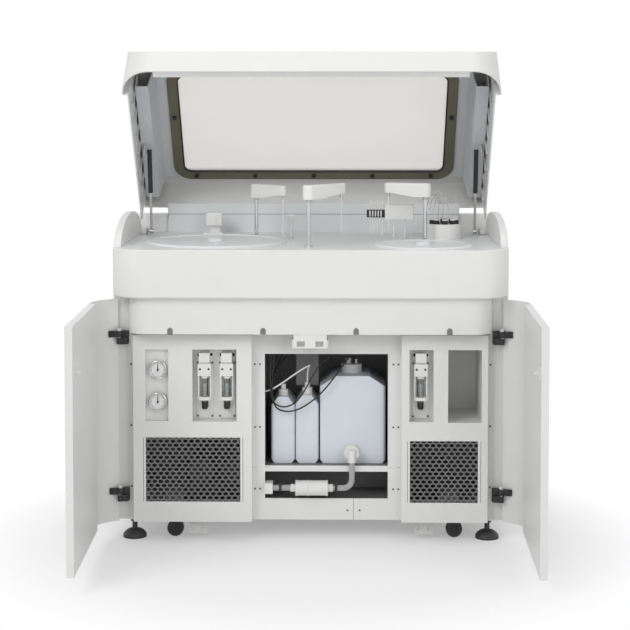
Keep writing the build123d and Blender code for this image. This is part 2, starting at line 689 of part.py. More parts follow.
# Lid shell: walls, a rolled front rim, an opening over the window and the hinge leaves
with BuildPart() as lid_shell:
    add(lid_form(0))
    add(lid_form(LID_WALL), mode=Mode.SUBTRACT)
    rim_end = LID_FRONT + LID_WALL + LID_RIM_W
    rim_low = LID_RIM + LID_RIM_LIFT
    lid_block((-LID_RIM_HALF, LID_RIM_HALF), (LID_FRONT + 1, rim_end), (rim_low, rim_low + LID_WALL))
    skirt_low = LID_PANEL + GLASS_T + RUN_GAP
    window_y = (WINDOW_FRONT, WINDOW_REAR)
    skirt_y = (WINDOW_FRONT - LINER_T, WINDOW_REAR + LINER_T)
    lid_block((-WINDOW_HALF - LINER_T, WINDOW_HALF + LINER_T), skirt_y, (skirt_low, LID_TOP - 1))
    lid_block((-WINDOW_HALF, WINDOW_HALF), window_y, (skirt_low - 1, LID_TOP + 1), Mode.SUBTRACT)
    for hinge_x in LID_HINGES:
        for knuckle in (-1, 1):
            inner_end = hinge_x + knuckle * (KNUCKLE / 2 + RUN_GAP)
            outer_end = inner_end + knuckle * KNUCKLE
            span = sorted((inner_end, outer_end))
            with BuildSketch(LID_SECTION.offset(span[0])) as leaf:
                Circle(KNUCKLE_R)
                with Locations((LID_REAR / 2 - LID_WALL / 2, KNUCKLE_R)):
                    Rectangle(LID_REAR - LID_WALL, 2 * KNUCKLE_R)
                with Locations((LID_REAR - LID_WALL - 1.5, 3 * KNUCKLE_R)):
                    Rectangle(5.0, 4 * KNUCKLE_R)
            extrude(leaf.sketch, amount=span[1] - span[0])
        bar_x((hinge_x - KNUCKLE, hinge_x + KNUCKLE), LID_HINGE_DEPTH, LID_HINGE_Z, HINGE_PIN_R)
save("lid_shell", lid_shell.part)

# Lid lining: flat panel round the window, sloping sides, flanges along both edges with ribs and stud plates
with BuildPart() as lid_lining:
    with BuildSketch(LID_CROSS.offset(-LINING_REAR)):
        with BuildLine():
            Polyline(
                (-STRIP_EDGE, STRIP_LEVEL),
                (-STRIP_HALF, STRIP_LEVEL),
                (-PANEL_HALF, LID_PANEL),
                (PANEL_HALF, LID_PANEL),
                (STRIP_HALF, STRIP_LEVEL),
                (STRIP_EDGE, STRIP_LEVEL),
                (STRIP_EDGE, STRIP_LEVEL + LINER_T),
                (STRIP_HALF + LINER_T, STRIP_LEVEL + LINER_T),
                (PANEL_HALF + LINER_T, LID_PANEL + LINER_T),
                (-PANEL_HALF - LINER_T, LID_PANEL + LINER_T),
                (-STRIP_HALF - LINER_T, STRIP_LEVEL + LINER_T),
                (-STRIP_EDGE, STRIP_LEVEL + LINER_T),
                close=True,
            )
        make_face()
    extrude(amount=LINING_REAR - LINING_FRONT)
    pane_half = WINDOW_HALF + PANE_LAP
    pane_y = (WINDOW_FRONT - PANE_LAP, WINDOW_REAR + PANE_LAP)
    lid_block((-pane_half, pane_half), pane_y, (LID_PANEL - 1, LID_PANEL + 2 * LINER_T), Mode.SUBTRACT)
    for side in (-1, 1):
        wall = sorted((side * (STRIP_EDGE - LINER_T), side * STRIP_EDGE))
        lid_block(wall, (LINING_FRONT, LINING_REAR), (STRIP_LEVEL, STRIP_LEVEL + 60))
        for number in range(RIBS):
            rib_y = RIB_FIRST + number * RIB_PITCH
            rib = sorted((side * (STRIP_EDGE - 1), side * (LID_SIDE - LID_WALL - RUN_GAP)))
            lid_block(rib, (rib_y - LINER_T / 2, rib_y + LINER_T / 2), (STRIP_LEVEL - 60, STRIP_LEVEL + 55))
        plate = sorted((side * (STUD_PLATE_X), side * (STUD_PLATE_X + LINER_T)))
        lid_block(plate, (STRUT_TOP_Y - 12, STRUT_TOP_Y + 12), (STRUT_TOP_Z - 10, STRIP_LEVEL + 1))
        stud = sorted((side * (STRUT_X + STRUT_EYE_W / 2 + RUN_GAP), side * (STUD_PLATE_X + 1)))
        stud_end = LID.from_local_coords((stud[0], STRUT_TOP_Y, STRUT_TOP_Z))
        bar_x(stud, stud_end.Y - FRONT, stud_end.Z, STRUT_PIN_R)
save("lid_lining", lid_lining.part)

# Window pane in the lining, and the trim that clamps it, with its cap nuts
with BuildPart() as lid_window:
    half = pane_half - RUN_GAP
    pane_span = (pane_y[0] + RUN_GAP, pane_y[1] - RUN_GAP)
    lid_block((-half, half), pane_span, (LID_PANEL, LID_PANEL + GLASS_T))
save("lid_window", lid_window.part)

with BuildPart() as window_trim:
    middle_y = (WINDOW_FRONT + WINDOW_REAR) / 2
    window_h = WINDOW_REAR - WINDOW_FRONT
    with BuildSketch(LID.offset(LID_PANEL - TRIM_T)):
        with Locations((0, middle_y)):
            RectangleRounded(2 * (WINDOW_HALF + TRIM_W), window_h + 2 * TRIM_W, TRIM_R)
            RectangleRounded(2 * WINDOW_HALF, window_h, TRIM_R - TRIM_W, mode=Mode.SUBTRACT)
    extrude(amount=TRIM_T)
    bolts = [(number * BOLT_PITCH, WINDOW_REAR + TRIM_W / 2) for number in range(-2, 3)]
    bolts += [(side * (WINDOW_HALF + TRIM_W / 2), BOLT_SIDE_Y) for side in (-1, 1)]
    for bolt_x, bolt_y in bolts:
        with BuildSketch(LID.offset(LID_PANEL - TRIM_T - BOLT_H)):
            with Locations((bolt_x, bolt_y)):
                Circle(BOLT_R)
        extrude(amount=BOLT_H)
save("window_trim", window_trim.part)

# Fixed halves of the lid's hinges, and the lower brackets of the gas struts
with BuildPart() as lid_mounts:
    for hinge_x in LID_HINGES:
        knuckle = (hinge_x - KNUCKLE / 2, hinge_x + KNUCKLE / 2)
        block(knuckle, (LID_HINGE_DEPTH - 3, LID_HINGE_DEPTH + 3), (REAR_BOX_TOP, LID_HINGE_Z))
        block(knuckle, (REAR_BOX_DEPTH + 1, REAR_BOX_DEPTH + 30), (REAR_BOX_TOP, REAR_BOX_TOP + 3))
        bar_x(knuckle, LID_HINGE_DEPTH, LID_HINGE_Z, KNUCKLE_R)
        bar_x(knuckle, LID_HINGE_DEPTH, LID_HINGE_Z, HINGE_PIN_R + FIT_GAP, Mode.SUBTRACT)
    for side in (-1, 1):
        plate = sorted((side * STUD_PLATE_X, side * (STUD_PLATE_X + LINER_T)))
        block(plate, (STRUT_LOW_DEPTH - 16, STRUT_LOW_DEPTH + 16), (DECK_Z, STRUT_LOW_Z + 10))
        foot = sorted((side * STUD_PLATE_X, side * (STUD_PLATE_X + 22)))
        block(foot, (STRUT_LOW_DEPTH - 16, STRUT_LOW_DEPTH + 16), (DECK_Z, DECK_Z + 3))
        stud = sorted((side * (STRUT_X - STRUT_EYE_W / 2), side * (STUD_PLATE_X + 1)))
        bar_x(stud, STRUT_LOW_DEPTH, STRUT_LOW_Z, STRUT_PIN_R)
save("lid_mounts", lid_mounts.part)

# Gas struts: a rod that turns on the lower stud, and the cylinder that slides on it
strut_top = LID.from_local_coords((0, STRUT_TOP_Y, STRUT_TOP_Z))
strut_low = Vector(0, FRONT + STRUT_LOW_DEPTH, STRUT_LOW_Z)
strut_way = (strut_top - strut_low).normalized()
strut_len = (strut_top - strut_low).length
for side, hand in ((-1, "left"), (1, "right")):
    foot_x = side * STRUT_X
    along = Plane((foot_x, strut_low.Y, strut_low.Z), x_dir=(1, 0, 0), z_dir=strut_way)
    with BuildPart() as strut_rod:
        with BuildSketch(along.offset(STRUT_EYE_R - 1)):
            Circle(STRUT_ROD_R)
        extrude(amount=STRUT_ROD_L - STRUT_EYE_R + 1)
        eye_x = (foot_x - STRUT_EYE_W / 2, foot_x + STRUT_EYE_W / 2)
        bar_x(eye_x, STRUT_LOW_DEPTH, STRUT_LOW_Z, STRUT_EYE_R)
        bar_x(eye_x, STRUT_LOW_DEPTH, STRUT_LOW_Z, STRUT_PIN_R + FIT_GAP, Mode.SUBTRACT)
    save(hand + "_strut_rod", strut_rod.part)
    with BuildPart() as strut_cylinder:
        with BuildSketch(along.offset(strut_len - STRUT_EYE_R - STRUT_BODY_L)):
            Circle(STRUT_BODY_R)
        extrude(amount=STRUT_BODY_L + 2)
        bar_x(eye_x, strut_top.Y - FRONT, strut_top.Z, STRUT_EYE_R)
        with BuildSketch(along.offset(strut_len - STRUT_EYE_R - STRUT_BODY_L)):
            Circle(STRUT_ROD_R + FIT_GAP)
        extrude(amount=STRUT_BODY_L - STRUT_EYE_R + 4, mode=Mode.SUBTRACT)
    save(hand + "_strut_cylinder", strut_cylinder.part)

# Doors: a flat box section, a curved single skin round the corner, and the moving halves of two hinges
DOOR_TURN = radians(-DOOR_OPEN)
DOOR = Plane(
    (-DOOR_HINGE_X, FRONT + DOOR_HINGE_DEPTH, 0), x_dir=(cos(DOOR_TURN), sin(DOOR_TURN), 0), z_dir=(0, 0, 1)
)


def door_block(x, depth, z, mode=Mode.ADD):
    """A box that spans ranges of the closed left door: X, depth behind the front face, height."""
    with BuildSketch(DOOR.offset(z[0])) as foot:
        with Locations(((x[0] + x[1]) / 2 + DOOR_HINGE_X, (depth[0] + depth[1]) / 2 - DOOR_HINGE_DEPTH)):
            Rectangle(x[1] - x[0], depth[1] - depth[0])
    extrude(foot.sketch, amount=z[1] - z[0], mode=mode)


def on_arc(r, angle):
    """A point of the door's corner, at a radius and an angle from the front, in the door's frame."""
    centre = (DOOR_HINGE_X - WIDTH / 2 + CORNER_R, CORNER_R - DOOR_HINGE_DEPTH)
    turned = radians(-90 - angle)
    return (centre[0] + r * cos(turned), centre[1] + r * sin(turned))


with BuildPart() as left_door:
    free_edge = DOOR_HINGE_X - DOOR_GAP
    inner_r = CORNER_R - DOOR_SKIN
    with BuildSketch(DOOR.offset(DOOR_Z)):
        with BuildLine():
            Line((free_edge, -DOOR_HINGE_DEPTH), on_arc(CORNER_R, 0))
            ThreePointArc(on_arc(CORNER_R, 0), on_arc(CORNER_R, DOOR_ARC / 2), on_arc(CORNER_R, DOOR_ARC))
            Line(on_arc(CORNER_R, DOOR_ARC), on_arc(inner_r, DOOR_ARC))
            ThreePointArc(on_arc(inner_r, DOOR_ARC), on_arc(inner_r, DOOR_ARC / 2), on_arc(inner_r, 0))
            Line(on_arc(inner_r, 0), (free_edge, DOOR_SKIN - DOOR_HINGE_DEPTH))
            Line((free_edge, DOOR_SKIN - DOOR_HINGE_DEPTH), (free_edge, -DOOR_HINGE_DEPTH))
        make_face()
    extrude(amount=DOOR_H)
    door_top = DOOR_Z + DOOR_H
    door_block((-DOOR_BOX_END, -DOOR_GAP), (1.0, DOOR_T), (DOOR_Z, door_top))
    inside_x = (-DOOR_BOX_END + DOOR_SHEET, -DOOR_GAP - DOOR_SHEET)
    door_block(inside_x, (DOOR_SKIN, DOOR_T - DOOR_SHEET), (DOOR_Z + DOOR_SHEET, door_top - DOOR_SHEET), Mode.SUBTRACT)
    door_block((-PEG_X - 4, -PEG_X + 4), (DOOR_T - 1, DOOR_T + 3), (CATCH_MID_Z - 16, CATCH_MID_Z + 16))
    with BuildSketch(Plane(DOOR.origin, x_dir=DOOR.x_dir, z_dir=DOOR.y_dir).offset(DOOR_T - DOOR_HINGE_DEPTH)):
        with Locations((DOOR_HINGE_X - PEG_X, -CATCH_MID_Z)):
            Circle(4.0)
    extrude(amount=PEG_L)
    for low in (HINGE_LOW_Z, HINGE_HIGH_Z):
        upper = (low + HINGE_H / 2 + RUN_GAP, low + HINGE_H)
        door_block((-DOOR_HINGE_X - 4, -DOOR_HINGE_X + 6), (DOOR_HINGE_DEPTH - 31, DOOR_HINGE_DEPTH), upper)
        rod(-DOOR_HINGE_X, DOOR_HINGE_DEPTH, upper, HINGE_R)
        rod(-DOOR_HINGE_X, DOOR_HINGE_DEPTH, (low, low + HINGE_H + 6), HINGE_PIN_R)
        rod(-DOOR_HINGE_X, DOOR_HINGE_DEPTH, (low + HINGE_H, low + HINGE_H + 8), HINGE_PIN_R + 2.5)
save("left_door", left_door.part)

with BuildPart() as right_door:
    mirror(left_door.part, about=Plane.YZ)
save("right_door", right_door.part)

# Fixed halves of the door hinges: a plate on the post and the lower knuckle
with BuildPart() as door_hinge_blocks:
    for side in (-1, 1):
        for low in (HINGE_LOW_Z, HINGE_HIGH_Z):
            lower = (low, low + HINGE_H / 2)
            web = sorted((side * (POST_IN + 4), side * (DOOR_HINGE_X - 4)))
            block(web, (DOOR_HINGE_DEPTH - 4, POST_FRONT), lower)
            plate = sorted((side * (POST_IN + 1), side * (POST_IN + 20)))
            block(plate, (POST_FRONT - 16, POST_FRONT), (low, low + HINGE_H))
            rod(side * DOOR_HINGE_X, DOOR_HINGE_DEPTH, lower, HINGE_R)
            rod(side * DOOR_HINGE_X, DOOR_HINGE_DEPTH, lower, HINGE_PIN_R + FIT_GAP, Mode.SUBTRACT)
save("door_hinge_blocks", door_hinge_blocks.part)

# Apron under the housing: a skin open below and behind, and the block with two catch pockets
with BuildPart() as apron:
    apron_h = HOUSING_Z - APRON_Z
    apron_rear = PANEL_FRONT + 28
    apron_outer = rounded_plan(APRON_HALF, APRON_FRONT, apron_rear, APRON_R, 0)
    extrude(apron_outer.moved(Location((0, 0, APRON_Z))), apron_h)
    apron_in = APRON_HALF - SKIN
    apron_inner = rounded_plan(apron_in, APRON_FRONT + SKIN, apron_rear + SKIN, APRON_R - SKIN, 0)
    extrude(apron_inner.moved(Location((0, 0, APRON_Z - SKIN))), apron_h + 2 * SKIN, mode=Mode.SUBTRACT)
    catch_low = CATCH_MID_Z - 13
    block((-CATCH_HALF, CATCH_HALF), (APRON_FRONT + 6, APRON_FRONT + 36), (catch_low, CATCH_MID_Z + 13))
    plate_y = (APRON_FRONT + SKIN, APRON_FRONT + 6)
    block((4 - CATCH_HALF, CATCH_HALF - 4), plate_y, (catch_low, APRON_Z + 20))
    for side in (-1, 1):
        pocket_x = sorted((side * (PEG_X - 12), side * (PEG_X + 12)))
        block(pocket_x, (APRON_FRONT, APRON_FRONT + 21), (CATCH_MID_Z - 8, CATCH_MID_Z + 8), Mode.SUBTRACT)
save("apron", apron.part)


def tray(x, z, depth):
    """A recess pressed into a front panel: the walls and the back, with the panel opened over it."""
    outer = ((x[0] - SHEET, x[1] + SHEET), (z[0] - SHEET, z[1] + SHEET))
    block(outer[0], (PANEL_FRONT, PANEL_FRONT + depth + SHEET), outer[1])
    block(x, (PANEL_FRONT - 1, PANEL_FRONT + depth), z, Mode.SUBTRACT)


# Inner front panels: sheets with returned edges, their recesses, and openings over the grilles
PANEL_SIDES = (
    (
        "left_inner_panel",
        LEFT_PANEL,
        (-1, 1),
        ((GAUGE_BAY, GAUGE_BAY_Z, GAUGE_RECESS_DEPTH), (SYRINGE_BAY_LEFT, SYRINGE_BAY_Z, RECESS_DEPTH)),
        (GRILLE_LEFT, GRILLE_LEFT_Z),
    ),
    (
        "right_inner_panel",
        RIGHT_PANEL,
        (1, -1),
        ((SYRINGE_BAY_RIGHT, SYRINGE_BAY_Z, RECESS_DEPTH), (POCKET, POCKET_Z, POCKET_DEPTH)),
        (GRILLE_RIGHT, GRILLE_RIGHT_Z),
    ),
)
for panel_name, panel_x, (outside, inside), recesses, (grille_x, grille_z) in PANEL_SIDES:
    with BuildPart() as inner_panel:
        block(panel_x, (PANEL_FRONT, PANEL_FRONT + SHEET), (PANEL_Z, PANEL_TOP))
        for way, reach in ((outside, RING_DEPTH), (inside, MIDDLE_FRONT)):
            edge = panel_x[1] if way > 0 else panel_x[0]
            block(sorted((edge - way * SHEET, edge)), (PANEL_FRONT, reach), (PANEL_Z, PANEL_TOP))
        block(panel_x, (PANEL_FRONT, PANEL_FRONT + 24), (PANEL_TOP - SHEET, PANEL_TOP))
        for recess_x, recess_z, recess_depth in recesses:
            tray(recess_x, recess_z, recess_depth)
        block(grille_x, (PANEL_FRONT - 1, PANEL_FRONT + 2 * SHEET), grille_z, Mode.SUBTRACT)
    save(panel_name, inner_panel.part)

# Grilles: thin plates behind the panels, pierced by a honeycomb of holes
with BuildPart() as grilles:
    for grille_x, grille_z in ((GRILLE_LEFT, GRILLE_LEFT_Z), (GRILLE_RIGHT, GRILLE_RIGHT_Z)):
        wide = grille_x[1] - grille_x[0]
        high = grille_z[1] - grille_z[0]
        back = (PANEL_FRONT + SHEET, PANEL_FRONT + SHEET + GRILLE_T)
        block((grille_x[0] - 12, grille_x[1] + 12), back, (grille_z[0] - 12, grille_z[1] + 12))
        row_pitch = GRILLE_PITCH * sin(pi / 3)
        rows = int(high / row_pitch)
        columns = int(wide / GRILLE_PITCH)
        middle_x = (grille_x[0] + grille_x[1]) / 2
        middle_z = (grille_z[0] + grille_z[1]) / 2
        holes = []
        for row in range(rows):
            shift = GRILLE_PITCH / 4 * (1 if row % 2 else -1)
            for column in range(columns):
                hole_x = middle_x + shift + (column - (columns - 1) / 2) * GRILLE_PITCH
                holes.append((hole_x, -(middle_z + (row - (rows - 1) / 2) * row_pitch)))
        with BuildSketch(Plane((0, FRONT + back[0] - 1, 0), x_dir=(1, 0, 0), z_dir=(0, 1, 0))):
            with Locations(*holes):
                RegularPolygon(GRILLE_HOLE / 2, 6, major_radius=False, rotation=30)
        extrude(amount=GRILLE_T + 2, mode=Mode.SUBTRACT)
save("grilles", grilles.part)

# Middle frame: a sheet with the two bay openings
with BuildPart() as middle_frame:
    block(MIDDLE, (MIDDLE_FRONT, MIDDLE_FRONT + SHEET), (PANEL_Z - 1, PANEL_TOP))
    for opening_z in (BAY_Z, TRAY_Z):
        block(BAY, (MIDDLE_FRONT - 1, MIDDLE_FRONT + SHEET + 1), opening_z, Mode.SUBTRACT)
save("middle_frame", middle_frame.part)

# Bay liner: an open box behind the middle frame, its shelf, a tray under it, and a bracket plate
with BuildPart() as bay_liner:
    liner_x = (BAY[0] - SHEET, BAY[1] + SHEET)
    liner_front = MIDDLE_FRONT + SHEET
    block(liner_x, (liner_front, BAY_DEPTH), (BAY_Z[0] - SHELF_T, BAY_Z[1] + SHEET + 2))
    block(BAY, (liner_front - 1, BAY_DEPTH - SHEET), (BAY_Z[0], BAY_Z[1] + 2), Mode.SUBTRACT)
    block(liner_x, (liner_front, TRAY_DEPTH), (TRAY_Z[0] - SHEET, BAY_Z[0] - SHELF_T))
    block(BAY, (liner_front - 1, TRAY_DEPTH - SHEET), (TRAY_Z[0], TRAY_Z[1] + 1), Mode.SUBTRACT)
    block(BRACKET, (BRACKET_DEPTH, BRACKET_DEPTH + SHEET), (BRACKET_Z, BAY_Z[1] + 3))
    block(BRACKET, (BRACKET_DEPTH, BRACKET_DEPTH + 30), (BRACKET_Z, BRACKET_Z + SHEET))
save("bay_liner", bay_liner.part)


def container(x, top, depth, shoulder):
    """A moulded container on the shelf: rounded corners, a chamfered foot and sloping shoulders."""
    low = BAY_Z[0]
    with BuildSketch(Plane.XY.offset(low)) as foot:
        with Locations(((x[0] + x[1]) / 2, FRONT + TANK_FRONT + depth / 2)):
            RectangleRounded(x[1] - x[0], depth, 10.0)
    extrude(foot.sketch, amount=top - low)
    with BuildSketch(Plane.XZ.offset(-(FRONT + TANK_FRONT - 1))) as cut:
        for side, edge in ((-1, x[0]), (1, x[1])):
            with BuildLine():
                Polyline(
                    (edge + side, top + 1),
                    (edge - side * shoulder[0], top + 1),
                    (edge + side, top - shoulder[1]),
                    close=True,
                )
            make_face()
            with BuildLine():
                Polyline((edge + side, low - 1), (edge - side * 12, low - 1), (edge + side, low + 12), close=True)
            make_face()
    extrude(cut.sketch, amount=-(depth + 2), mode=Mode.SUBTRACT)


# Large container with its drain neck, and the two small ones
with BuildPart() as large_tank:
    container(LARGE_TANK, LARGE_TANK_TOP, LARGE_TANK_DEPTH, (52.0, 34.0))
    rod(LARGE_CAP_X, TANK_MIDDLE, (LARGE_TANK_TOP - 1, LARGE_TANK_TOP + 4), LARGE_CAP_R - 6)
save("large_tank", large_tank.part)

with BuildPart() as small_tanks:
    container(SMALL_TANK_A, SMALL_TANK_A_TOP, SMALL_TANK_DEPTH, (22.0, 30.0))
    container(SMALL_TANK_B, SMALL_TANK_B_TOP, SMALL_TANK_DEPTH, (22.0, 30.0))
save("small_tanks", small_tanks.part)

# Caps of the containers with their sensor stems and hose nipples
SMALL_CAPS = (
    ((SMALL_TANK_A[0] + SMALL_TANK_A[1]) / 2, SMALL_TANK_A_TOP),
    ((SMALL_TANK_B[0] + SMALL_TANK_B[1]) / 2, SMALL_TANK_B_TOP),
)
with BuildPart() as tank_caps:
    rod(LARGE_CAP_X, TANK_MIDDLE, (LARGE_TANK_TOP, LARGE_TANK_TOP + CAP_H), LARGE_CAP_R)
    rod(LARGE_CAP_X, TANK_MIDDLE, (LARGE_TANK_TOP - 1, LARGE_TANK_TOP + 4 + RUN_GAP), LARGE_CAP_R - 5, Mode.SUBTRACT)
    rod(LARGE_CAP_X - 10, TANK_MIDDLE, (LARGE_TANK_TOP + CAP_H - 2, LARGE_TANK_TOP + CAP_H + 16), 9.0)
    rod(LARGE_CAP_X + 14, TANK_MIDDLE - 6, (LARGE_TANK_TOP + CAP_H - 2, LARGE_TANK_TOP + CAP_H + 14), 4.0)
    for cap_x, cap_z in SMALL_CAPS:
        rod(cap_x, SMALL_CAP_DEPTH, (cap_z, cap_z + 18), 15.0)
        rod(cap_x, SMALL_CAP_DEPTH, (cap_z + 18, cap_z + 34), 8.0)
save("tank_caps", tank_caps.part)

# Drain line of the large container: union nut, filter body and elbow
with BuildPart() as drain_fittings:
    bar_y(LARGE_CAP_X, (DRAIN_LINE_DEPTH + 8, TANK_FRONT), DRAIN_Z, 23.0)
    bar_y(LARGE_CAP_X, (DRAIN_LINE_DEPTH, DRAIN_LINE_DEPTH + 8), DRAIN_Z, 14.0)
    rod(LARGE_CAP_X, DRAIN_LINE_DEPTH, (DRAIN_Z - 26, DRAIN_Z + 12), 12.0)
    bar_x(FILTER, DRAIN_LINE_DEPTH, FILTER_Z, FILTER_R)
    bar_x((FILTER[0] - 16, FILTER[0]), DRAIN_LINE_DEPTH, FILTER_Z, 12.0)
    bar_x((FILTER[1], FILTER[1] + 16), DRAIN_LINE_DEPTH, FILTER_Z, 12.0)
    clamp_depth = (DRAIN_LINE_DEPTH - 13, MIDDLE_FRONT + 20)
    block((BAY[0], BAY[0] + 24), clamp_depth, (FILTER_Z - 16, FILTER_Z + 16))
save("drain_fittings", drain_fittings.part)


def hose(points, r, bend):
    """A round hose along points given as (x, depth, z), with bends of one radius."""
    with BuildLine() as way:
        FilletPolyline(*[(x, FRONT + depth, z) for x, depth, z in points], radius=bend)
    with BuildSketch(Plane(way.line @ 0, z_dir=way.line % 0)) as section:
        Circle(r)
    return sweep(section.sketch, path=way.line, mode=Mode.PRIVATE)


# Hoses of the drain line
with BuildPart() as drain_hoses:
    fall = (
        (LARGE_CAP_X, DRAIN_LINE_DEPTH, DRAIN_Z - 26),
        (LARGE_CAP_X, DRAIN_LINE_DEPTH, FILTER_Z),
        (FILTER[1] + 16, DRAIN_LINE_DEPTH, FILTER_Z),
    )
    add(hose(fall, HOSE_R, 26.0))
    bar_x((BAY[0] + 24, FILTER[0] - 16), DRAIN_LINE_DEPTH, FILTER_Z, HOSE_R)
save("drain_hoses", drain_hoses.part)

# Tubes in the bay, each from a cap or the left wall up to the bay's ceiling
with BuildPart() as bay_tubes:
    for tube in BAY_TUBES:
        add(hose(tube, BAY_TUBE_R, 12.0))
save("bay_tubes", bay_tubes.part)

# Gauges: a case with its bezel, and a needle on a spindle
with BuildPart() as gauges:
    gauge_back = PANEL_FRONT + GAUGE_RECESS_DEPTH
    for level in GAUGE_LEVELS:
        bar_y(GAUGE_X, (gauge_back - GAUGE_BODY, gauge_back), level, GAUGE_R)
        inside_r = GAUGE_R - GAUGE_BEZEL
        bar_y(GAUGE_X, (gauge_back - GAUGE_BODY - 1, gauge_back - GAUGE_BODY + 6), level, inside_r, Mode.SUBTRACT)
        bore = (gauge_back - GAUGE_BODY, gauge_back - 4)
        bar_y(GAUGE_X, bore, level, SPINDLE_R + FIT_GAP, Mode.SUBTRACT)
save("gauges", gauges.part)

for level, name in zip(GAUGE_LEVELS, ("upper", "lower")):
    with BuildPart() as gauge_needle:
        dial = gauge_back - GAUGE_BODY + 6
        bar_y(GAUGE_X, (dial - 3, gauge_back - 5), level, SPINDLE_R)
        bar_y(GAUGE_X, (dial - 3, dial - 1), level, 3.0)
        pointer = (GAUGE_X - 0.8, GAUGE_X + 0.8)
        block(pointer, (dial - 2.5, dial - 1.5), (level - 6, level + NEEDLE_L))
    save("gauge_needle_" + name, gauge_needle.part)

# Syringe modules: back plates with a head block, a valve, a collar and the clamp below
with BuildPart() as syringe_blocks:
    plate_depth = PANEL_FRONT + RECESS_DEPTH
    barrel_depth = plate_depth - 21
    for syringe_x in SYRINGES:
        half = SYRINGE_W / 2
        plate_x = (syringe_x - half - 4, syringe_x + half + 4)
        block(plate_x, (plate_depth - 5, plate_depth), (SYRINGE_BAY_Z[0] + 5, SYRINGE_BAY_Z[1] - 7))
        narrow = (syringe_x - half + 4, syringe_x + half - 4)
        block(narrow, (plate_depth - 38, plate_depth - 5), (BARREL_Z[1] + 51, BARREL_Z[1] + 78))
        block(narrow, (plate_depth - 30, plate_depth - 5), (BARREL_Z[1] + 45, BARREL_Z[1] + 51))
        block((syringe_x - half, syringe_x + half), (plate_depth - 36, plate_depth - 5), VALVE_Z)
        rod(syringe_x, barrel_depth, (BARREL_Z[1], VALVE_Z[0]), BARREL_R + 3)
        clamp_z = (BARREL_Z[0] - 10, BARREL_Z[0])
        block(narrow, (plate_depth - 34, plate_depth - 5), clamp_z)
        rod(syringe_x, barrel_depth, (clamp_z[0], clamp_z[1]), PLUNGER_R + 0.6, Mode.SUBTRACT)
        for side in (-1, 1):
            cheek_x = sorted((syringe_x + side * (half - 4), syringe_x + side * half))
            block(cheek_x, (plate_depth - 24, plate_depth - 5), (BARREL_Z[0] - 10, VALVE_Z[0]))
save("syringe_blocks", syringe_blocks.part)

with BuildPart() as syringe_barrels:
    for syringe_x in SYRINGES:
        rod(syringe_x, barrel_depth, BARREL_Z, BARREL_R)
        rod(syringe_x, barrel_depth, BARREL_Z, BARREL_BORE, Mode.SUBTRACT)
save("syringe_barrels", syringe_barrels.part)

for number, syringe_x in enumerate(SYRINGES, 1):
    with BuildPart() as plunger:
        piston = (BARREL_Z[1] - 27, BARREL_Z[1] - 17)
        rod(syringe_x, barrel_depth, piston, BARREL_BORE - FIT_GAP)
        rod(syringe_x, barrel_depth, (KNOB_Z[0], piston[0]), PLUNGER_R)
        rod(syringe_x, barrel_depth, KNOB_Z, KNOB_R)
        rod(syringe_x, barrel_depth, (KNOB_Z[0] - 6, KNOB_Z[0]), KNOB_R - 3)
    save(f"syringe_plunger_{number}", plunger.part)

# Levelling feet: a domed pad, a stem and a lock nut under the base ring
with BuildPart() as leveling_feet:
    for side in (-1, 1):
        for foot_depth in FOOT_DEPTHS:
            foot_y = FRONT + foot_depth
            foot_profile_plane = Plane((side * FOOT_X, foot_y, 0), x_dir=(1, 0, 0), z_dir=(0, -1, 0))
            with BuildSketch(foot_profile_plane):
                with BuildLine():
                    Polyline((0, 0), (FOOT_R, 0), (FOOT_R, 8))
                    ThreePointArc((FOOT_R, 8), (FOOT_R * 0.72, 20), (STEM_R + 2, FOOT_H - 4))
                    Polyline((STEM_R + 2, FOOT_H - 4), (0, FOOT_H - 4), (0, 0))
                make_face()
            revolve(axis=Axis((side * FOOT_X, foot_y, 0), (0, 0, 1)))
            rod(side * FOOT_X, foot_depth, (FOOT_H - 5, BASE_Z), STEM_R)
            with BuildSketch(Plane.XY.offset(BASE_Z - 12)):
                with Locations((side * FOOT_X, foot_y)):
                    RegularPolygon(13.0, 6)
            extrude(amount=12)
save("leveling_feet", leveling_feet.part)


def wheel(x, depth, along):
    """A caster wheel on its axle hole: tyre, tread chamfers and a hub recess on both faces."""
    turn = (0, 90, 0) if along == "x" else (90, 0, 0)
    with BuildPart(Location((x, FRONT + depth, AXLE_Z), turn), mode=Mode.PRIVATE) as made:
        Cylinder(WHEEL_R, WHEEL_W)
        chamfer(made.edges(), 2.0)
        for side in (-1, 1):
            with Locations((0, 0, side * WHEEL_W / 2)):
                Cylinder(WHEEL_R - 8, 4, mode=Mode.SUBTRACT)
        Cylinder(AXLE_R + FIT_GAP, WHEEL_W + 2, mode=Mode.SUBTRACT)
    return made.part


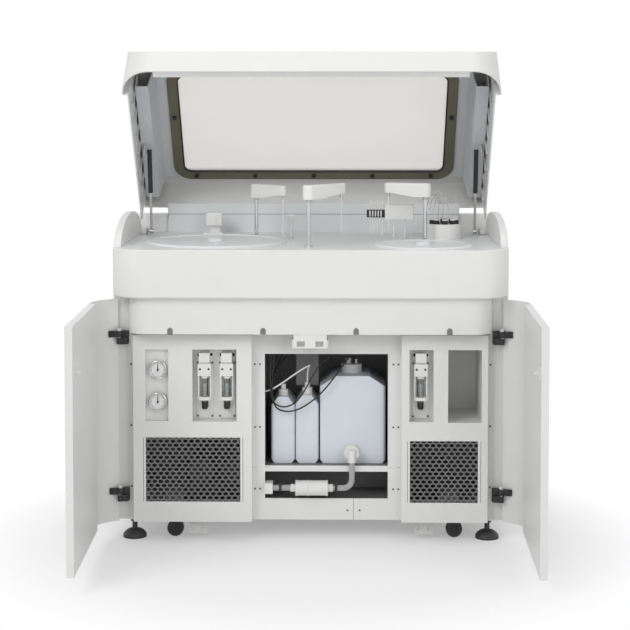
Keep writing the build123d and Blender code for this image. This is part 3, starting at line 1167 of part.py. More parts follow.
# Casters: swivel forks in front with their wheels, wheels in the fixed forks behind
for side, hand in ((-1, "left"), (1, "right")):
    caster_x = side * CASTER_X
    wheel_x = caster_x + CASTER_TRAIL
    front_depth = CASTER_DEPTHS[0]
    with BuildPart() as fork:
        rod(caster_x, front_depth, (BASE_Z - FORK_T, BASE_Z - RUN_GAP), 22.0)
        block((wheel_x - 9, wheel_x + 9), (front_depth - 17, front_depth + 17), (BASE_Z - 6, BASE_Z - 3))
        for leg in (-1, 1):
            near = front_depth + leg * (WHEEL_W / 2 + RUN_GAP)
            leg_y = sorted((near, front_depth + leg * (WHEEL_W / 2 + FORK_T)))
            block((wheel_x - 9, wheel_x + 9), leg_y, (AXLE_Z - 8, BASE_Z - 3))
        axle = (front_depth - WHEEL_W / 2 - FORK_T, front_depth + WHEEL_W / 2 + FORK_T)
        bar_y(wheel_x, axle, AXLE_Z, AXLE_R)
    save(f"front_{hand}_fork", fork.part)
    save(f"front_{hand}_wheel", wheel(wheel_x, front_depth, "y"))
    save(f"rear_{hand}_wheel", wheel(caster_x, CASTER_DEPTHS[1], "x"))

# Pump unit on the floor plate behind the grilles: two pumps and a power box
with BuildPart() as pump_unit:
    floor_top = BASE_Z + SKIN
    block((-390.0, -190.0), (200.0, 420.0), (floor_top, floor_top + 90))
    for pump_x in (-340.0, -240.0):
        bar_y(pump_x, (180.0, 400.0), floor_top + 125, 40.0)
    block((260.0, 390.0), (310.0, 520.0), (floor_top, floor_top + 180))
save("pump_unit", pump_unit.part)
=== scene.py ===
import math

import bmesh
import bpy
from mathutils import Matrix, Vector


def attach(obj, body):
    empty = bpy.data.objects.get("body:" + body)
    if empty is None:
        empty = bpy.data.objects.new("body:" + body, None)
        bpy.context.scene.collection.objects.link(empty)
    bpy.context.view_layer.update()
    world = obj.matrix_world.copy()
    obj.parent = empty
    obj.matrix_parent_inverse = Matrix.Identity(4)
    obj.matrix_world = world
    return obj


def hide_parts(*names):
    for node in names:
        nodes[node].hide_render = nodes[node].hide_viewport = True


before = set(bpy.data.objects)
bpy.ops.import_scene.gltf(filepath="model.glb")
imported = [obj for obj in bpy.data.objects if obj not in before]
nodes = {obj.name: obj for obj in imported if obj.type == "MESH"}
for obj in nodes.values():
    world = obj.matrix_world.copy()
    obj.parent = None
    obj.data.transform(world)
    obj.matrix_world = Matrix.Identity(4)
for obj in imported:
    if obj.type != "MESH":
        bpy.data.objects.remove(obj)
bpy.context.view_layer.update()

# Lengths are written in millimetres, as the solids are, with depths behind the housing's front face
MM = 0.001
FRONT = -126.75
DECK_Z = 896.0
LID_OPEN = math.radians(51.0)
LID_HINGE = (645.0, 985.0)

# Depths of the sheets in front, and the places of what is fastened to them
PANEL_FRONT = 70.0
STRIP_FRONT = 92.0
MIDDLE_FRONT = 105.0
STRIP_X = 546.5
STRIP_LEVELS = (539.0, 351.0, 163.0)
MIDDLE_X = (-170.0, -154.5, 252.5, 268.0)
MIDDLE_LEVELS = (537.0, 344.0, 153.0)
LOWER_SCREWS = [(113.0, 87.0), (150.0, 87.0)]
SEAM_X = 131.0
SHELF_SEAM_Z = 220.0
KNOBS = (-420.0, -141.0, 138.0, 418.0)
KNOB_Z = 640.5
KNOB_R = 8.0
KNOB_ARCH = 11.5
KNOB_MIDDLE = 9.0
KNOB_SCREW = 10.5

# Gauges and syringe modules
GAUGE_X = -463.0
GAUGE_LEVELS = (525.0, 427.0)
DIAL_DEPTH = 74.2
MARK_R = 22.0
SYRINGES = (-322.0, -254.5, 335.0)
SYRINGE_BACK = 107.0
SYRINGE_HOLE_Z = 566.0
SYRINGE_SCREW_Z = (541.0, 378.0)
SYRINGE_SLOT_Z = (405.0, 497.0)
PORT_DEPTH = 76.0
PORT_Z = 526.0
BARREL_DEPTH = 91.0
PLUNGER_KNOB_Z = 404.0
BARREL_TIP_Z = 430.5

# Lid: its lining's level, the trim's bolts and the seal, in the lid's own frame
TRIM_LEVEL = 110.0
TRIM_BOLTS = [(x, -36.5) for x in (-398.0, -199.0, 0.0, 199.0, 398.0)] + [(-456.5, -293.0), (456.5, -293.0)]
SEAL_HALF = 436.0
SEAL_Y = (-466.0, -57.0)
SEAL_W = 5.0
SEAL_R = 24.0

# Worktop: arms as name, shaft X and depth, tip X and depth, underside
ARMS = (
    ("reagent_arm", -184.0, 490.0, -94.0, 394.0, 1022.0),
    ("sample_arm", -6.0, 112.0, 94.0, 232.0, 1040.0),
    ("second_reagent_arm", 359.0, 335.0, 243.0, 361.0, 1034.0),
)
WALL_HALF = 489.0
CUP_X = 424.0
CUP_DEPTH = 410.0
TUBE_ENDS = 8
TUBE_END_RING = 37.0
TUBE_END_Z = 943.0

# Container bay and the drain line in front of it
BAY_TOP = 571.0
DRAIN_DEPTH = 94.0
DRAIN_Z = 159.0

# Doors
DOOR_HINGE_X = 580.0
HINGE_LEVELS = (120.0, 602.0)

# Camera, fitted to the photograph: picture width and focal length in pixels, place and aim
PICTURE = 630
FOCAL_PIXELS = 1621.5
SENSOR = 36.0
CAMERA_X = 90.0
CAMERA_AWAY = 4800.0
CAMERA_Z = 1360.0
CAMERA_DOWN = 3.0
CAMERA_TURN = 0.893
CAMERA_SHIFT = -0.216


def at(x, depth, z):
    """A point from X, depth behind the front face and height, in metres."""
    return Vector((x * MM, (FRONT + depth) * MM, z * MM))


def lid_at(x, y, z):
    """A point given in the closed lid's own frame at the hinge, turned to where the open lid is."""
    c, s = math.cos(LID_OPEN), math.sin(LID_OPEN)
    return at(x, LID_HINGE[0] + y * c + z * s, LID_HINGE[1] - y * s + z * c)


def lid_matrix(x, y, z):
    """Places a piece drawn in the lid's frame."""
    return Matrix.Translation(lid_at(x, y, z)) @ Matrix.Rotation(-LID_OPEN, 4, "X")


# Materials


def new_material(name, color, rough=0.45, metal=0.0):
    """A material with its node tree and its shader."""
    material = bpy.data.materials.new(name)
    material.use_nodes = True
    shader = material.node_tree.nodes["Principled BSDF"]
    shader.inputs["Base Color"].default_value = (*color, 1)
    shader.inputs["Roughness"].default_value = rough
    shader.inputs["Metallic"].default_value = metal
    return material, material.node_tree, shader


def add_node(tree, kind, **values):
    """A node with its inputs or settings given by name."""
    node = tree.nodes.new(kind)
    for key, value in values.items():
        if key in node.inputs:
            node.inputs[key].default_value = value
        else:
            setattr(node, key, value)
    return node


def surface(name, color, rough=0.45, metal=0.0, vary=0.02, blotch=9.0, grain=900.0, bump=0.05, stretch=None):
    """A material whose colour drifts a little over the surface and whose relief is a fine grain."""
    material, tree, shader = new_material(name, color, rough, metal)
    where = add_node(tree, "ShaderNodeTexCoord")
    source = where.outputs["Object"]
    if stretch:
        mapping = add_node(tree, "ShaderNodeMapping")
        mapping.inputs["Scale"].default_value = stretch
        tree.links.new(source, mapping.inputs["Vector"])
        source = mapping.outputs["Vector"]
    drift = add_node(tree, "ShaderNodeTexNoise", Scale=blotch, Detail=3.0, Roughness=0.55)
    tree.links.new(source, drift.inputs["Vector"])
    ramp = add_node(tree, "ShaderNodeValToRGB")
    ramp.color_ramp.elements[0].position = 0.3
    ramp.color_ramp.elements[1].position = 0.7
    ramp.color_ramp.elements[0].color = (*[max(0.0, c * (1 - vary)) for c in color], 1)
    ramp.color_ramp.elements[1].color = (*[min(1.0, c * (1 + vary)) for c in color], 1)
    tree.links.new(drift.outputs["Fac"], ramp.inputs["Fac"])
    tree.links.new(ramp.outputs["Color"], shader.inputs["Base Color"])
    fine = add_node(tree, "ShaderNodeTexNoise", Scale=grain, Detail=2.0)
    tree.links.new(source, fine.inputs["Vector"])
    relief = add_node(tree, "ShaderNodeBump", Strength=bump, Distance=0.0004)
    tree.links.new(fine.outputs["Fac"], relief.inputs["Height"])
    tree.links.new(relief.outputs["Normal"], shader.inputs["Normal"])
    gloss = add_node(tree, "ShaderNodeMapRange")
    gloss.inputs["To Min"].default_value = max(0.02, rough - 0.06)
    gloss.inputs["To Max"].default_value = min(1.0, rough + 0.06)
    tree.links.new(drift.outputs["Fac"], gloss.inputs["Value"])
    tree.links.new(gloss.outputs["Result"], shader.inputs["Roughness"])
    return material


def clear(name, color, rough, through, ior, vary, blotch=12.0):
    """A clear or milky material: a share of transmission over a slightly uneven colour."""
    material = surface(name, color, rough, 0.0, vary, blotch, 400.0, 0.03)
    shader = material.node_tree.nodes["Principled BSDF"]
    shader.inputs["Transmission Weight"].default_value = through
    shader.inputs["IOR"].default_value = ior
    return material


M = {
    "shell": surface("shell_white", (0.80, 0.80, 0.79), 0.38, vary=0.012, grain=1400.0, bump=0.06),
    "lid": surface("lid_white", (0.74, 0.74, 0.73), 0.38, vary=0.012, grain=1400.0, bump=0.06),
    "panel": surface("panel_white", (0.78, 0.78, 0.77), 0.42, vary=0.012, grain=700.0, bump=0.10),
    "door": surface("door_white", (0.74, 0.74, 0.735), 0.42, vary=0.012, grain=700.0, bump=0.10),
    "frame": surface("frame_white", (0.72, 0.72, 0.71), 0.45, vary=0.015, grain=700.0, bump=0.10),
    "deck": surface("deck_white", (0.74, 0.75, 0.76), 0.36, vary=0.012, grain=1200.0, bump=0.05),
    "cover": surface("cover_white", (0.78, 0.79, 0.80), 0.30, vary=0.010, grain=1200.0, bump=0.05),
    "lining": surface("lining_grey", (0.60, 0.615, 0.63), 0.45, vary=0.015, grain=900.0, bump=0.08),
    "arm": surface("arm_white", (0.82, 0.82, 0.81), 0.30, vary=0.008, grain=1500.0, bump=0.03),
    "block": surface("block_white", (0.78, 0.78, 0.77), 0.40, vary=0.015, grain=900.0, bump=0.06),
    "trim": surface("trim_olive", (0.135, 0.125, 0.085), 0.42, vary=0.05, grain=1100.0, bump=0.12),
    "black": surface("black_plastic", (0.012, 0.012, 0.013), 0.42, vary=0.15, grain=900.0, bump=0.10),
    "rubber": surface("black_rubber", (0.02, 0.02, 0.02), 0.62, vary=0.15, grain=600.0, bump=0.20),
    "pad": surface("foot_rubber", (0.045, 0.045, 0.047), 0.55, vary=0.12, grain=500.0, bump=0.20),
    "grey": surface("grey_rubber", (0.20, 0.20, 0.20), 0.55, vary=0.04, grain=700.0, bump=0.12),
    "screw": surface("screw_steel", (0.16, 0.16, 0.16), 0.35, 0.8, vary=0.06, grain=600.0, bump=0.10),
    "steel": surface("brushed_steel", (0.52, 0.52, 0.52), 0.28, 1.0, 0.03, 20.0, 900.0, 0.12, (1, 1, 0.05)),
    "chrome": surface("chrome_rod", (0.62, 0.62, 0.63), 0.12, 1.0, vary=0.02, grain=900.0, bump=0.02),
    "zinc": surface("zinc_sheet", (0.42, 0.42, 0.42), 0.38, 0.9, 0.04, 30.0, 700.0, 0.10),
    "hinge": surface("hinge_dark", (0.035, 0.035, 0.037), 0.40, 0.3, vary=0.08, grain=800.0, bump=0.12),
    "mesh": surface("grille_steel", (0.16, 0.16, 0.16), 0.40, 0.55, vary=0.06, grain=800.0, bump=0.10),
    "inside": surface("bay_grey", (0.17, 0.17, 0.175), 0.55, vary=0.04, grain=600.0, bump=0.12),
    "container": clear("container_milk", (0.80, 0.84, 0.90), 0.36, 0.12, 1.50, vary=0.02),
    "pane": clear("pane_cream", (0.96, 0.95, 0.92), 0.18, 0.75, 1.49, vary=0.01, blotch=3.0),
    "glass": clear("barrel_glass", (0.85, 0.88, 0.88), 0.04, 0.92, 1.47, vary=0.02),
    "hose": clear("hose_clear", (0.72, 0.73, 0.72), 0.14, 0.55, 1.42, vary=0.05, blotch=60.0),
    "tread": surface("caster_tread", (0.03, 0.03, 0.032), 0.50, vary=0.12, grain=700.0, bump=0.15),
    "dial": surface("dial_white", (0.82, 0.82, 0.82), 0.5, vary=0.01, grain=900.0, bump=0.02),
}

LOOKS = {
    "upper_housing": "shell",
    "lid_shell": "lid",
    "lid_lining": "lining",
    "lid_window": "pane",
    "window_trim": "trim",
    "deck": "deck",
    "disc_covers": "cover",
    "apron": "panel",
    "left_inner_panel": "panel",
    "right_inner_panel": "panel",
    "middle_frame": "panel",
    "side_panels": "door",
    "rear_panel": "door",
    "left_door": "door",
    "right_door": "door",
    "base_frame": "frame",
    "bay_liner": "inside",
    "large_tank": "container",
    "small_tanks": "container",
    "tank_caps": "block",
    "drain_fittings": "block",
    "drain_hoses": "hose",
    "bay_tubes": "rubber",
    "gauges": "steel",
    "gauge_needle_upper": "black",
    "gauge_needle_lower": "black",
    "syringe_blocks": "block",
    "syringe_barrels": "glass",
    "reagent_arm": "arm",
    "sample_arm": "arm",
    "second_reagent_arm": "arm",
    "wash_head": "arm",
    "mixer": "chrome",
    "code_reader": "arm",
    "tube_cup": "arm",
    "reagent_arm_shaft": "chrome",
    "sample_arm_shaft": "chrome",
    "second_reagent_arm_shaft": "chrome",
    "shaft_guides": "zinc",
    "reagent_disc": "block",
    "reaction_disc": "block",
    "lid_mounts": "zinc",
    "left_strut_rod": "chrome",
    "right_strut_rod": "chrome",
    "left_strut_cylinder": "black",
    "right_strut_cylinder": "black",
    "door_hinge_blocks": "hinge",
    "grilles": "mesh",
    "leveling_feet": "pad",
    "power_inlet": "black",
    "pump_unit": "hinge",
}
LOOKS_BY_WORD = {"plunger": "steel", "wheel": "tread", "fork": "black"}


def look_of(node_name):
    """The material of a node, by its name or by a word that repeated nodes share."""
    for word, look in LOOKS_BY_WORD.items():
        if word in node_name:
            return look
    return LOOKS.get(node_name, "block")


for node_name, thing in nodes.items():
    thing.data.materials.clear()
    thing.data.materials.append(M[look_of(node_name)])


# Builders


def piece(name, bm, look, body, smooth=True):
    """Turns a bmesh into an object that rides on a body."""
    bmesh.ops.recalc_face_normals(bm, faces=bm.faces)
    data = bpy.data.meshes.new(name)
    bm.to_mesh(data)
    bm.free()
    data.materials.append(M[look])
    thing = bpy.data.objects.new(name, data)
    bpy.context.scene.collection.objects.link(thing)
    if smooth:
        for polygon in data.polygons:
            polygon.use_smooth = True
        data.set_sharp_from_angle(angle=math.radians(32))
    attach(thing, body)
    return thing


def add_box(bm, x, depth, z, bevel):
    """A box over three ranges, its edges rounded."""
    size = [(high - low) * MM for low, high in (x, depth, z)]
    centre = at((x[0] + x[1]) / 2, (depth[0] + depth[1]) / 2, (z[0] + z[1]) / 2)
    made = bmesh.ops.create_cube(bm, size=1.0)["verts"]
    bmesh.ops.scale(bm, vec=size, verts=made)
    if bevel:
        edges = list({e for v in made for e in v.link_edges})
        made = bmesh.ops.bevel(
            bm, geom=edges, offset=bevel * MM, segments=2, affect="EDGES", profile=0.5
        )["verts"]
        faces = {face for vert in made for face in vert.link_faces}
        made = list(set(made) | {vert for face in faces for vert in face.verts})
    bmesh.ops.transform(bm, matrix=Matrix.Translation(centre), verts=made)


def add_turned(bm, profile, matrix, count=24):
    """A turned form: (radius, height) pairs in mm spun about the local Z of a matrix."""
    rings = []
    for radius, height in profile:
        if radius < 1e-6:
            rings.append([bm.verts.new(matrix @ Vector((0, 0, height * MM)))])
            continue
        ring = []
        for step in range(count):
            angle = 2 * math.pi * step / count
            spot = Vector((radius * math.cos(angle), radius * math.sin(angle), height)) * MM
            ring.append(bm.verts.new(matrix @ spot))
        rings.append(ring)
    for low, high in zip(rings, rings[1:]):
        for step in range(count):
            after = (step + 1) % count
            if len(low) == 1 and len(high) == 1:
                continue
            if len(low) == 1:
                bm.faces.new((low[0], high[step], high[after]))
            elif len(high) == 1:
                bm.faces.new((low[step], low[after], high[0]))
            else:
                bm.faces.new((low[step], low[after], high[after], high[step]))


UP = Matrix.Identity(4)
TO_FRONT = Matrix.Rotation(math.radians(90), 4, "X")
ALONG_X = Matrix.Rotation(math.radians(90), 4, "Y")


def placed(x, depth, z, turn=UP):
    """A matrix that turns a form and sets it at X, depth and height."""
    return Matrix.Translation(at(x, depth, z)) @ turn


def screw_heads(name, spots, body, radius, height=1.6):
    """Cross-headed screws, each a domed head with a recess, given as matrices."""
    bm = bmesh.new()
    for matrix in spots:
        profile = [
            (0, height * 0.35),
            (radius * 0.30, height * 0.35),
            (radius * 0.36, height * 0.95),
            (radius * 0.7, height * 0.8),
            (radius, height * 0.25),
            (radius, 0),
        ]
        add_turned(bm, profile, matrix, 14)
    piece(name, bm, "screw", body)


def front_spots(points, depth):
    """Places on a sheet that faces the front, from (X, height) pairs."""
    return [placed(x, depth, z, TO_FRONT) for x, z in points]


# Cabinet front

strip_points = [(side * STRIP_X, z) for side in (-1, 1) for z in STRIP_LEVELS]
screw_heads("strip_screws", front_spots(strip_points, STRIP_FRONT), "cabinet", 3.4)
middle_points = [(x, z) for x in MIDDLE_X for z in MIDDLE_LEVELS] + LOWER_SCREWS
screw_heads("middle_screws", front_spots(middle_points, MIDDLE_FRONT), "cabinet", 3.2)

# Seams of the middle frame: thin dark lines a shade proud of the sheet
bm = bmesh.new()
seam_depth = (MIDDLE_FRONT - 0.2, MIDDLE_FRONT + 0.2)
add_box(bm, (SEAM_X - 0.6, SEAM_X + 0.6), seam_depth, (58.5, 123.5), 0.0)
for x, length in ((-177.0, 14.0), (-140.0, 14.0), (238.0, 12.0), (262.0, 12.0)):
    add_box(bm, (x, x + length), seam_depth, (SHELF_SEAM_Z - 0.4, SHELF_SEAM_Z + 0.4), 0.0)
piece("middle_seams", bm, "grey", "cabinet", False)

# Slots at both sides of each grille, where its frame folds in
bm = bmesh.new()
left_slot = (121.0, 318.0)
right_slot = (120.0, 309.0)
for x, slot_z in ((-507.5, left_slot), (-205.0, left_slot), (294.5, right_slot), (516.5, right_slot)):
    add_box(bm, (x - 0.7, x + 0.7), (PANEL_FRONT - 0.3, PANEL_FRONT + 0.2), slot_z, 0.0)
piece("grille_slots", bm, "grey", "cabinet", False)


def knob(bm, x):
    """A stop knob: an arched rubber bumper on the apron's lower edge."""
    outline = [(-KNOB_R, 0.0), (KNOB_R, 0.0)]
    for step in range(13):
        angle = math.pi * step / 12
        outline.append((KNOB_R * math.cos(angle), KNOB_ARCH + KNOB_R * math.sin(angle)))
    rows = []
    for depth, shrink in ((24.0, 0.0), (22.4, 0.0), (21.5, 1.4)):
        row = []
        for px, pz in outline:
            rise = pz - KNOB_MIDDLE
            length = math.hypot(px, rise) or 1.0
            spot = at(x + px * (1 - shrink / length), depth, KNOB_Z + pz - rise * shrink / length)
            row.append(bm.verts.new(spot))
        rows.append(row)
    for low, high in zip(rows, rows[1:]):
        for i in range(len(low)):
            j = (i + 1) % len(low)
            bm.faces.new((low[i], low[j], high[j], high[i]))
    bm.faces.new(rows[-1])
    bm.faces.new(rows[0][::-1])


bm = bmesh.new()
for x in KNOBS:
    knob(bm, x)
piece("stop_knobs", bm, "grey", "cabinet")
knob_spots = front_spots([(x, KNOB_Z + KNOB_SCREW) for x in KNOBS], 21.6)
screw_heads("knob_screws", knob_spots, "cabinet", 2.6, 0.4)

# Catch block: a face plate over each pocket and a grey latch between them
bm = bmesh.new()
for side in (-1, 1):
    for x in (22.0, 46.0):
        add_turned(bm, [(0, 0.5), (1.6, 0.5), (1.6, 0)], placed(side * x, 30.0, 621.5, TO_FRONT), 10)
add_box(bm, (-8.0, 8.0), (29.3, 30.1), (599.0, 622.0), 0.3)
piece("catch_latch", bm, "grey", "cabinet")


# Grilles


def grille(bm, x, z, depth=72.0, thick=1.5):
    """A perforated sheet: staggered hexagonal holes, each cell a ring of faces with its own depth."""
    pitch_x, pitch_z, hole = 18.8, 12.4, 5.4
    wide, high = x[1] - x[0], z[1] - z[0]
    columns, rows = int(wide / pitch_x), int(high / pitch_z)
    start_x = (x[0] + x[1]) / 2 - (columns - 1) / 2 * pitch_x
    start_z = (z[0] + z[1]) / 2 - (rows - 1) / 2 * pitch_z
    keep = {}

    def corner(px, pz, level):
        key = (round(px, 2), round(pz, 2), level)
        if key not in keep:
            keep[key] = bm.verts.new(at(px, depth + (thick if level else 0.0), pz))
        return keep[key]

    for row in range(rows):
        shift = pitch_x / 4 if row % 2 else -pitch_x / 4
        for column in range(columns):
            cx, cz = start_x + column * pitch_x + shift, start_z + row * pitch_z
            outer = [
                (0, pitch_z * 2 / 3),
                (pitch_x / 2, pitch_z / 3),
                (pitch_x / 2, -pitch_z / 3),
                (0, -pitch_z * 2 / 3),
                (-pitch_x / 2, -pitch_z / 3),
                (-pitch_x / 2, pitch_z / 3),
            ]
            inner = [(0, hole), (hole * 1.25, hole * 0.5), (hole * 1.25, -hole * 0.5)]
            inner += [(0, -hole), (-hole * 1.25, -hole * 0.5), (-hole * 1.25, hole * 0.5)]
            for level in (0, 1):
                for i in range(6):
                    j = (i + 1) % 6
                    a = corner(cx + outer[i][0], cz + outer[i][1], level)
                    b = corner(cx + outer[j][0], cz + outer[j][1], level)
                    c = corner(cx + inner[j][0], cz + inner[j][1], level)
                    d = corner(cx + inner[i][0], cz + inner[i][1], level)
                    bm.faces.new((a, b, c, d) if level == 0 else (d, c, b, a))
            for i in range(6):
                j = (i + 1) % 6
                quad = [
                    corner(cx + inner[i][0], cz + inner[i][1], 0),
                    corner(cx + inner[j][0], cz + inner[j][1], 0),
                    corner(cx + inner[j][0], cz + inner[j][1], 1),
                    corner(cx + inner[i][0], cz + inner[i][1], 1),
                ]
                bm.faces.new(quad)


bm = bmesh.new()
grille(bm, (-510.0, -203.0), (112.0, 327.0))
grille(bm, (292.0, 518.0), (111.0, 318.0))
sheet_of_holes = piece("grille_sheets", bm, "mesh", "cabinet", False)
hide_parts("grilles")

# Gauges


def dial_mark(bm, level, angle, inner_r, half):
    """A flat stroke on the dial, from a radius out to the scale's edge."""
    across = Vector((math.cos(angle), 0, -math.sin(angle))) * half * MM
    along = Vector((math.sin(angle), 0, math.cos(angle)))
    centre = at(GAUGE_X, DIAL_DEPTH - 0.6, level)
    near = centre + along * inner_r * MM
    far = centre + along * MARK_R * MM
    bm.faces.new([bm.verts.new(v) for v in (near - across, near + across, far + across, far - across)])


for level in GAUGE_LEVELS:
    bm = bmesh.new()
    add_turned(bm, [(0, 0.4), (23.8, 0.4), (23.8, 0)], placed(GAUGE_X, DIAL_DEPTH, level, TO_FRONT), 48)
    piece(f"dial_{int(level)}", bm, "dial", "cabinet")
    bm = bmesh.new()
    for tick in range(31):
        long_tick = tick % 5 == 0
        inner_r = 17.5 if long_tick else 19.5
        half = 0.45 if long_tick else 0.22
        dial_mark(bm, level, math.radians(-135 + tick * 9), inner_r, half)
    piece(f"dial_marks_{int(level)}", bm, "black", "cabinet", False)
    bm = bmesh.new()
    profile = [(23.9, 6.0), (24.6, 8.6), (26.0, 9.2), (27.6, 8.4), (28.4, 6.4), (28.4, 2.0), (27.0, 1.0)]
    add_turned(bm, profile, placed(GAUGE_X, DIAL_DEPTH + 1.8, level, TO_FRONT), 56)
    piece(f"bezel_{int(level)}", bm, "steel", "cabinet")

# Syringe modules

bm_dark = bmesh.new()
spots = []
for number, syringe_x in enumerate(SYRINGES, 1):
    for side in (-1, 1):
        hole = placed(syringe_x + side * 18.5, SYRINGE_BACK, SYRINGE_HOLE_Z, TO_FRONT)
        add_turned(bm_dark, [(0, 0.3), (4.6, 0.6), (4.9, 0)], hole, 20)
        port = placed(syringe_x + side * 13.0, PORT_DEPTH, PORT_Z, TO_FRONT)
        add_turned(bm_dark, [(0, 0.5), (3.2, 0.5), (3.4, 0)], port, 16)
        for z in SYRINGE_SCREW_Z:
            spots.append(placed(syringe_x + side * 22.0, SYRINGE_BACK, z, TO_FRONT))
    slot_depth = (SYRINGE_BACK - 0.4, SYRINGE_BACK + 0.1)
    add_box(bm_dark, (syringe_x - 9.5, syringe_x + 9.5), slot_depth, SYRINGE_SLOT_Z, 0.0)
    bm = bmesh.new()
    profile = [(0, -1.0), (8.8, -1.0), (9.0, 0), (9.0, 20.5), (8.4, 21.6), (3.2, 22.0), (3.2, 22.4)]
    add_turned(bm, profile, placed(syringe_x, BARREL_DEPTH, PLUNGER_KNOB_Z), 28)
    piece(f"plunger_knob_{number}", bm, "black", f"plunger_{number}")
    bm = bmesh.new()
    profile = [(3.4, 0), (6.6, 0.8), (6.9, 5.0), (5.4, 9.0), (3.4, 9.4)]
    add_turned(bm, profile, placed(syringe_x, BARREL_DEPTH, BARREL_TIP_Z), 24)
    piece(f"barrel_tip_{number}", bm, "block", "cabinet")
piece("syringe_dark", bm_dark, "black", "cabinet")
screw_heads("syringe_screws", spots, "cabinet", 3.6)

# Lid fittings

bm = bmesh.new()
for x, y in TRIM_BOLTS:
    profile = [(0, -6.9), (3.0, -6.9), (3.4, -6.1), (6.4, -6.3), (7.6, -5.2), (8.2, 0)]
    add_turned(bm, profile, lid_matrix(x, y, TRIM_LEVEL), 20)
piece("trim_bolts", bm, "black", "lid")


def frame_ring(bm, half_x, y_low, y_high, width, z0, z1, radius):
    """A rounded rectangular ring in the lid's frame."""

    def outline(grow):
        points = []
        r = max(radius + grow, 1.0)
        for cx, cy, start in (
            (half_x + grow - r, y_high + grow - r, 0),
            (-(half_x + grow - r), y_high + grow - r, 90),
            (-(half_x + grow - r), y_low - grow + r, 180),
            (half_x + grow - r, y_low - grow + r, 270),
        ):
            for step in range(9):
                angle = math.radians(start + step * 90 / 8)
                points.append((cx + r * math.cos(angle), cy + r * math.sin(angle)))
        return points

    inner, outer = outline(0.0), outline(width)
    loops = []
    for loop, z in ((inner, z0), (outer, z0), (outer, z1), (inner, z1)):
        loops.append([bm.verts.new(lid_at(px, py, z)) for px, py in loop])
    count = len(inner)
    for k in range(4):
        first, second = loops[k], loops[(k + 1) % 4]
        for i in range(count):
            j = (i + 1) % count
            bm.faces.new((first[i], first[j], second[j], second[i]))


# Dark seal inside the trim
bm = bmesh.new()
frame_ring(bm, SEAL_HALF, *SEAL_Y, SEAL_W, TRIM_LEVEL - 1.0, TRIM_LEVEL + 4.9, SEAL_R)
piece("window_seal", bm, "black", "lid")

# Deck fittings

bm = bmesh.new()
wall_depth = (630.5, 631.1)
add_box(bm, (-WALL_HALF, WALL_HALF), wall_depth, (956.0, 957.6), 0.0)
for wall_x in ((-WALL_HALF, 1.5 - WALL_HALF), (WALL_HALF - 1.5, WALL_HALF)):
    add_box(bm, wall_x, wall_depth, (940.0, 957.0), 0.0)
piece("rear_wall_line", bm, "grey", "cabinet", False)

for arm_name, shaft_x, shaft_depth, tip_x, tip_depth, under in ARMS:
    bm = bmesh.new()
    collar = [(6.2, -9.0), (9.0, -8.0), (9.4, -1.0), (8.6, 0.0)]
    add_turned(bm, collar, placed(shaft_x, shaft_depth, under), 24)
    socket = [(1.7, -6.0), (4.6, -5.0), (5.4, 2.0), (5.0, 6.0)]
    add_turned(bm, socket, placed(tip_x, tip_depth, under + 6.0), 20)
    piece(arm_name + "_collars", bm, "steel", arm_name)
    bm = bmesh.new()
    seal = [(6.3, 4.0), (11.0, 3.6), (12.5, 0.6), (13.0, 0)]
    add_turned(bm, seal, placed(shaft_x, shaft_depth, DECK_Z), 28)
    piece(arm_name + "_bellows", bm, "steel", "cabinet")

# Wash station: black needle header with its white tabs, and the cup's black tube ends
bm = bmesh.new()
add_box(bm, (176.0, 236.0), (433.0, 447.0), (961.0, 986.0), 1.2)
piece("needle_header", bm, "black", "wash_head")
bm = bmesh.new()
for number in range(5):
    tab_x = 184.0 + number * 9.0
    add_box(bm, (tab_x, tab_x + 4.0), (432.2, 433.2), (964.0, 983.0), 0.2)
piece("needle_header_tabs", bm, "block", "wash_head")
bm = bmesh.new()
for number in range(TUBE_ENDS):
    angle = 2 * math.pi * number / TUBE_ENDS
    end_x = CUP_X + TUBE_END_RING * math.cos(angle)
    end_depth = CUP_DEPTH + TUBE_END_RING * math.sin(angle)
    profile = [(10.0, 0), (10.4, 3.0), (9.6, 8.0), (10.4, 11.0), (7.5, 15.0), (0, 16.2)]
    add_turned(bm, profile, placed(end_x, end_depth, TUBE_END_Z), 20)
piece("cup_tube_ends", bm, "rubber", "cabinet")


def tube(name, points, radius, look, body):
    """A smooth round tube through or near its points."""
    curve = bpy.data.curves.new(name, "CURVE")
    curve.dimensions = "3D"
    spline = curve.splines.new("NURBS")
    spline.points.add(len(points) - 1)
    for spot, point in zip(spline.points, points):
        spot.co = (*point, 1)
    spline.order_u = 3
    spline.use_endpoint_u = True
    curve.bevel_depth = radius * MM
    curve.bevel_resolution = 4
    curve.resolution_u = 10
    curve.use_fill_caps = True
    curve.materials.append(M[look])
    thing = bpy.data.objects.new(name, curve)
    bpy.context.scene.collection.objects.link(thing)
    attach(thing, body)
    return thing


# Thin clear tubes that rise from the cup in arcs and fall back
CLEAR_TUBES = (
    (405.0, CUP_DEPTH + 1.0, 392.0, 1040.0, 372.0),
    (420.0, CUP_DEPTH + 8.0, 404.0, 1052.0, 384.0),
    (436.0, CUP_DEPTH - 6.0, 414.0, 1046.0, 396.0),
)
for number, (start_x, start_depth, top_x, top_z, end_x) in enumerate(CLEAR_TUBES):
    route = [
        at(start_x, start_depth, 955),
        at(start_x + 4, start_depth, 1000),
        at(top_x + 8, 408, top_z),
        at(top_x - 10, 404, top_z - 6),
        at(end_x, 400, 1020),
        at(end_x - 8, 398, 985),
    ]
    tube(f"clear_tube_{number}", route, 1.3, "hose", "cabinet")

# Bay

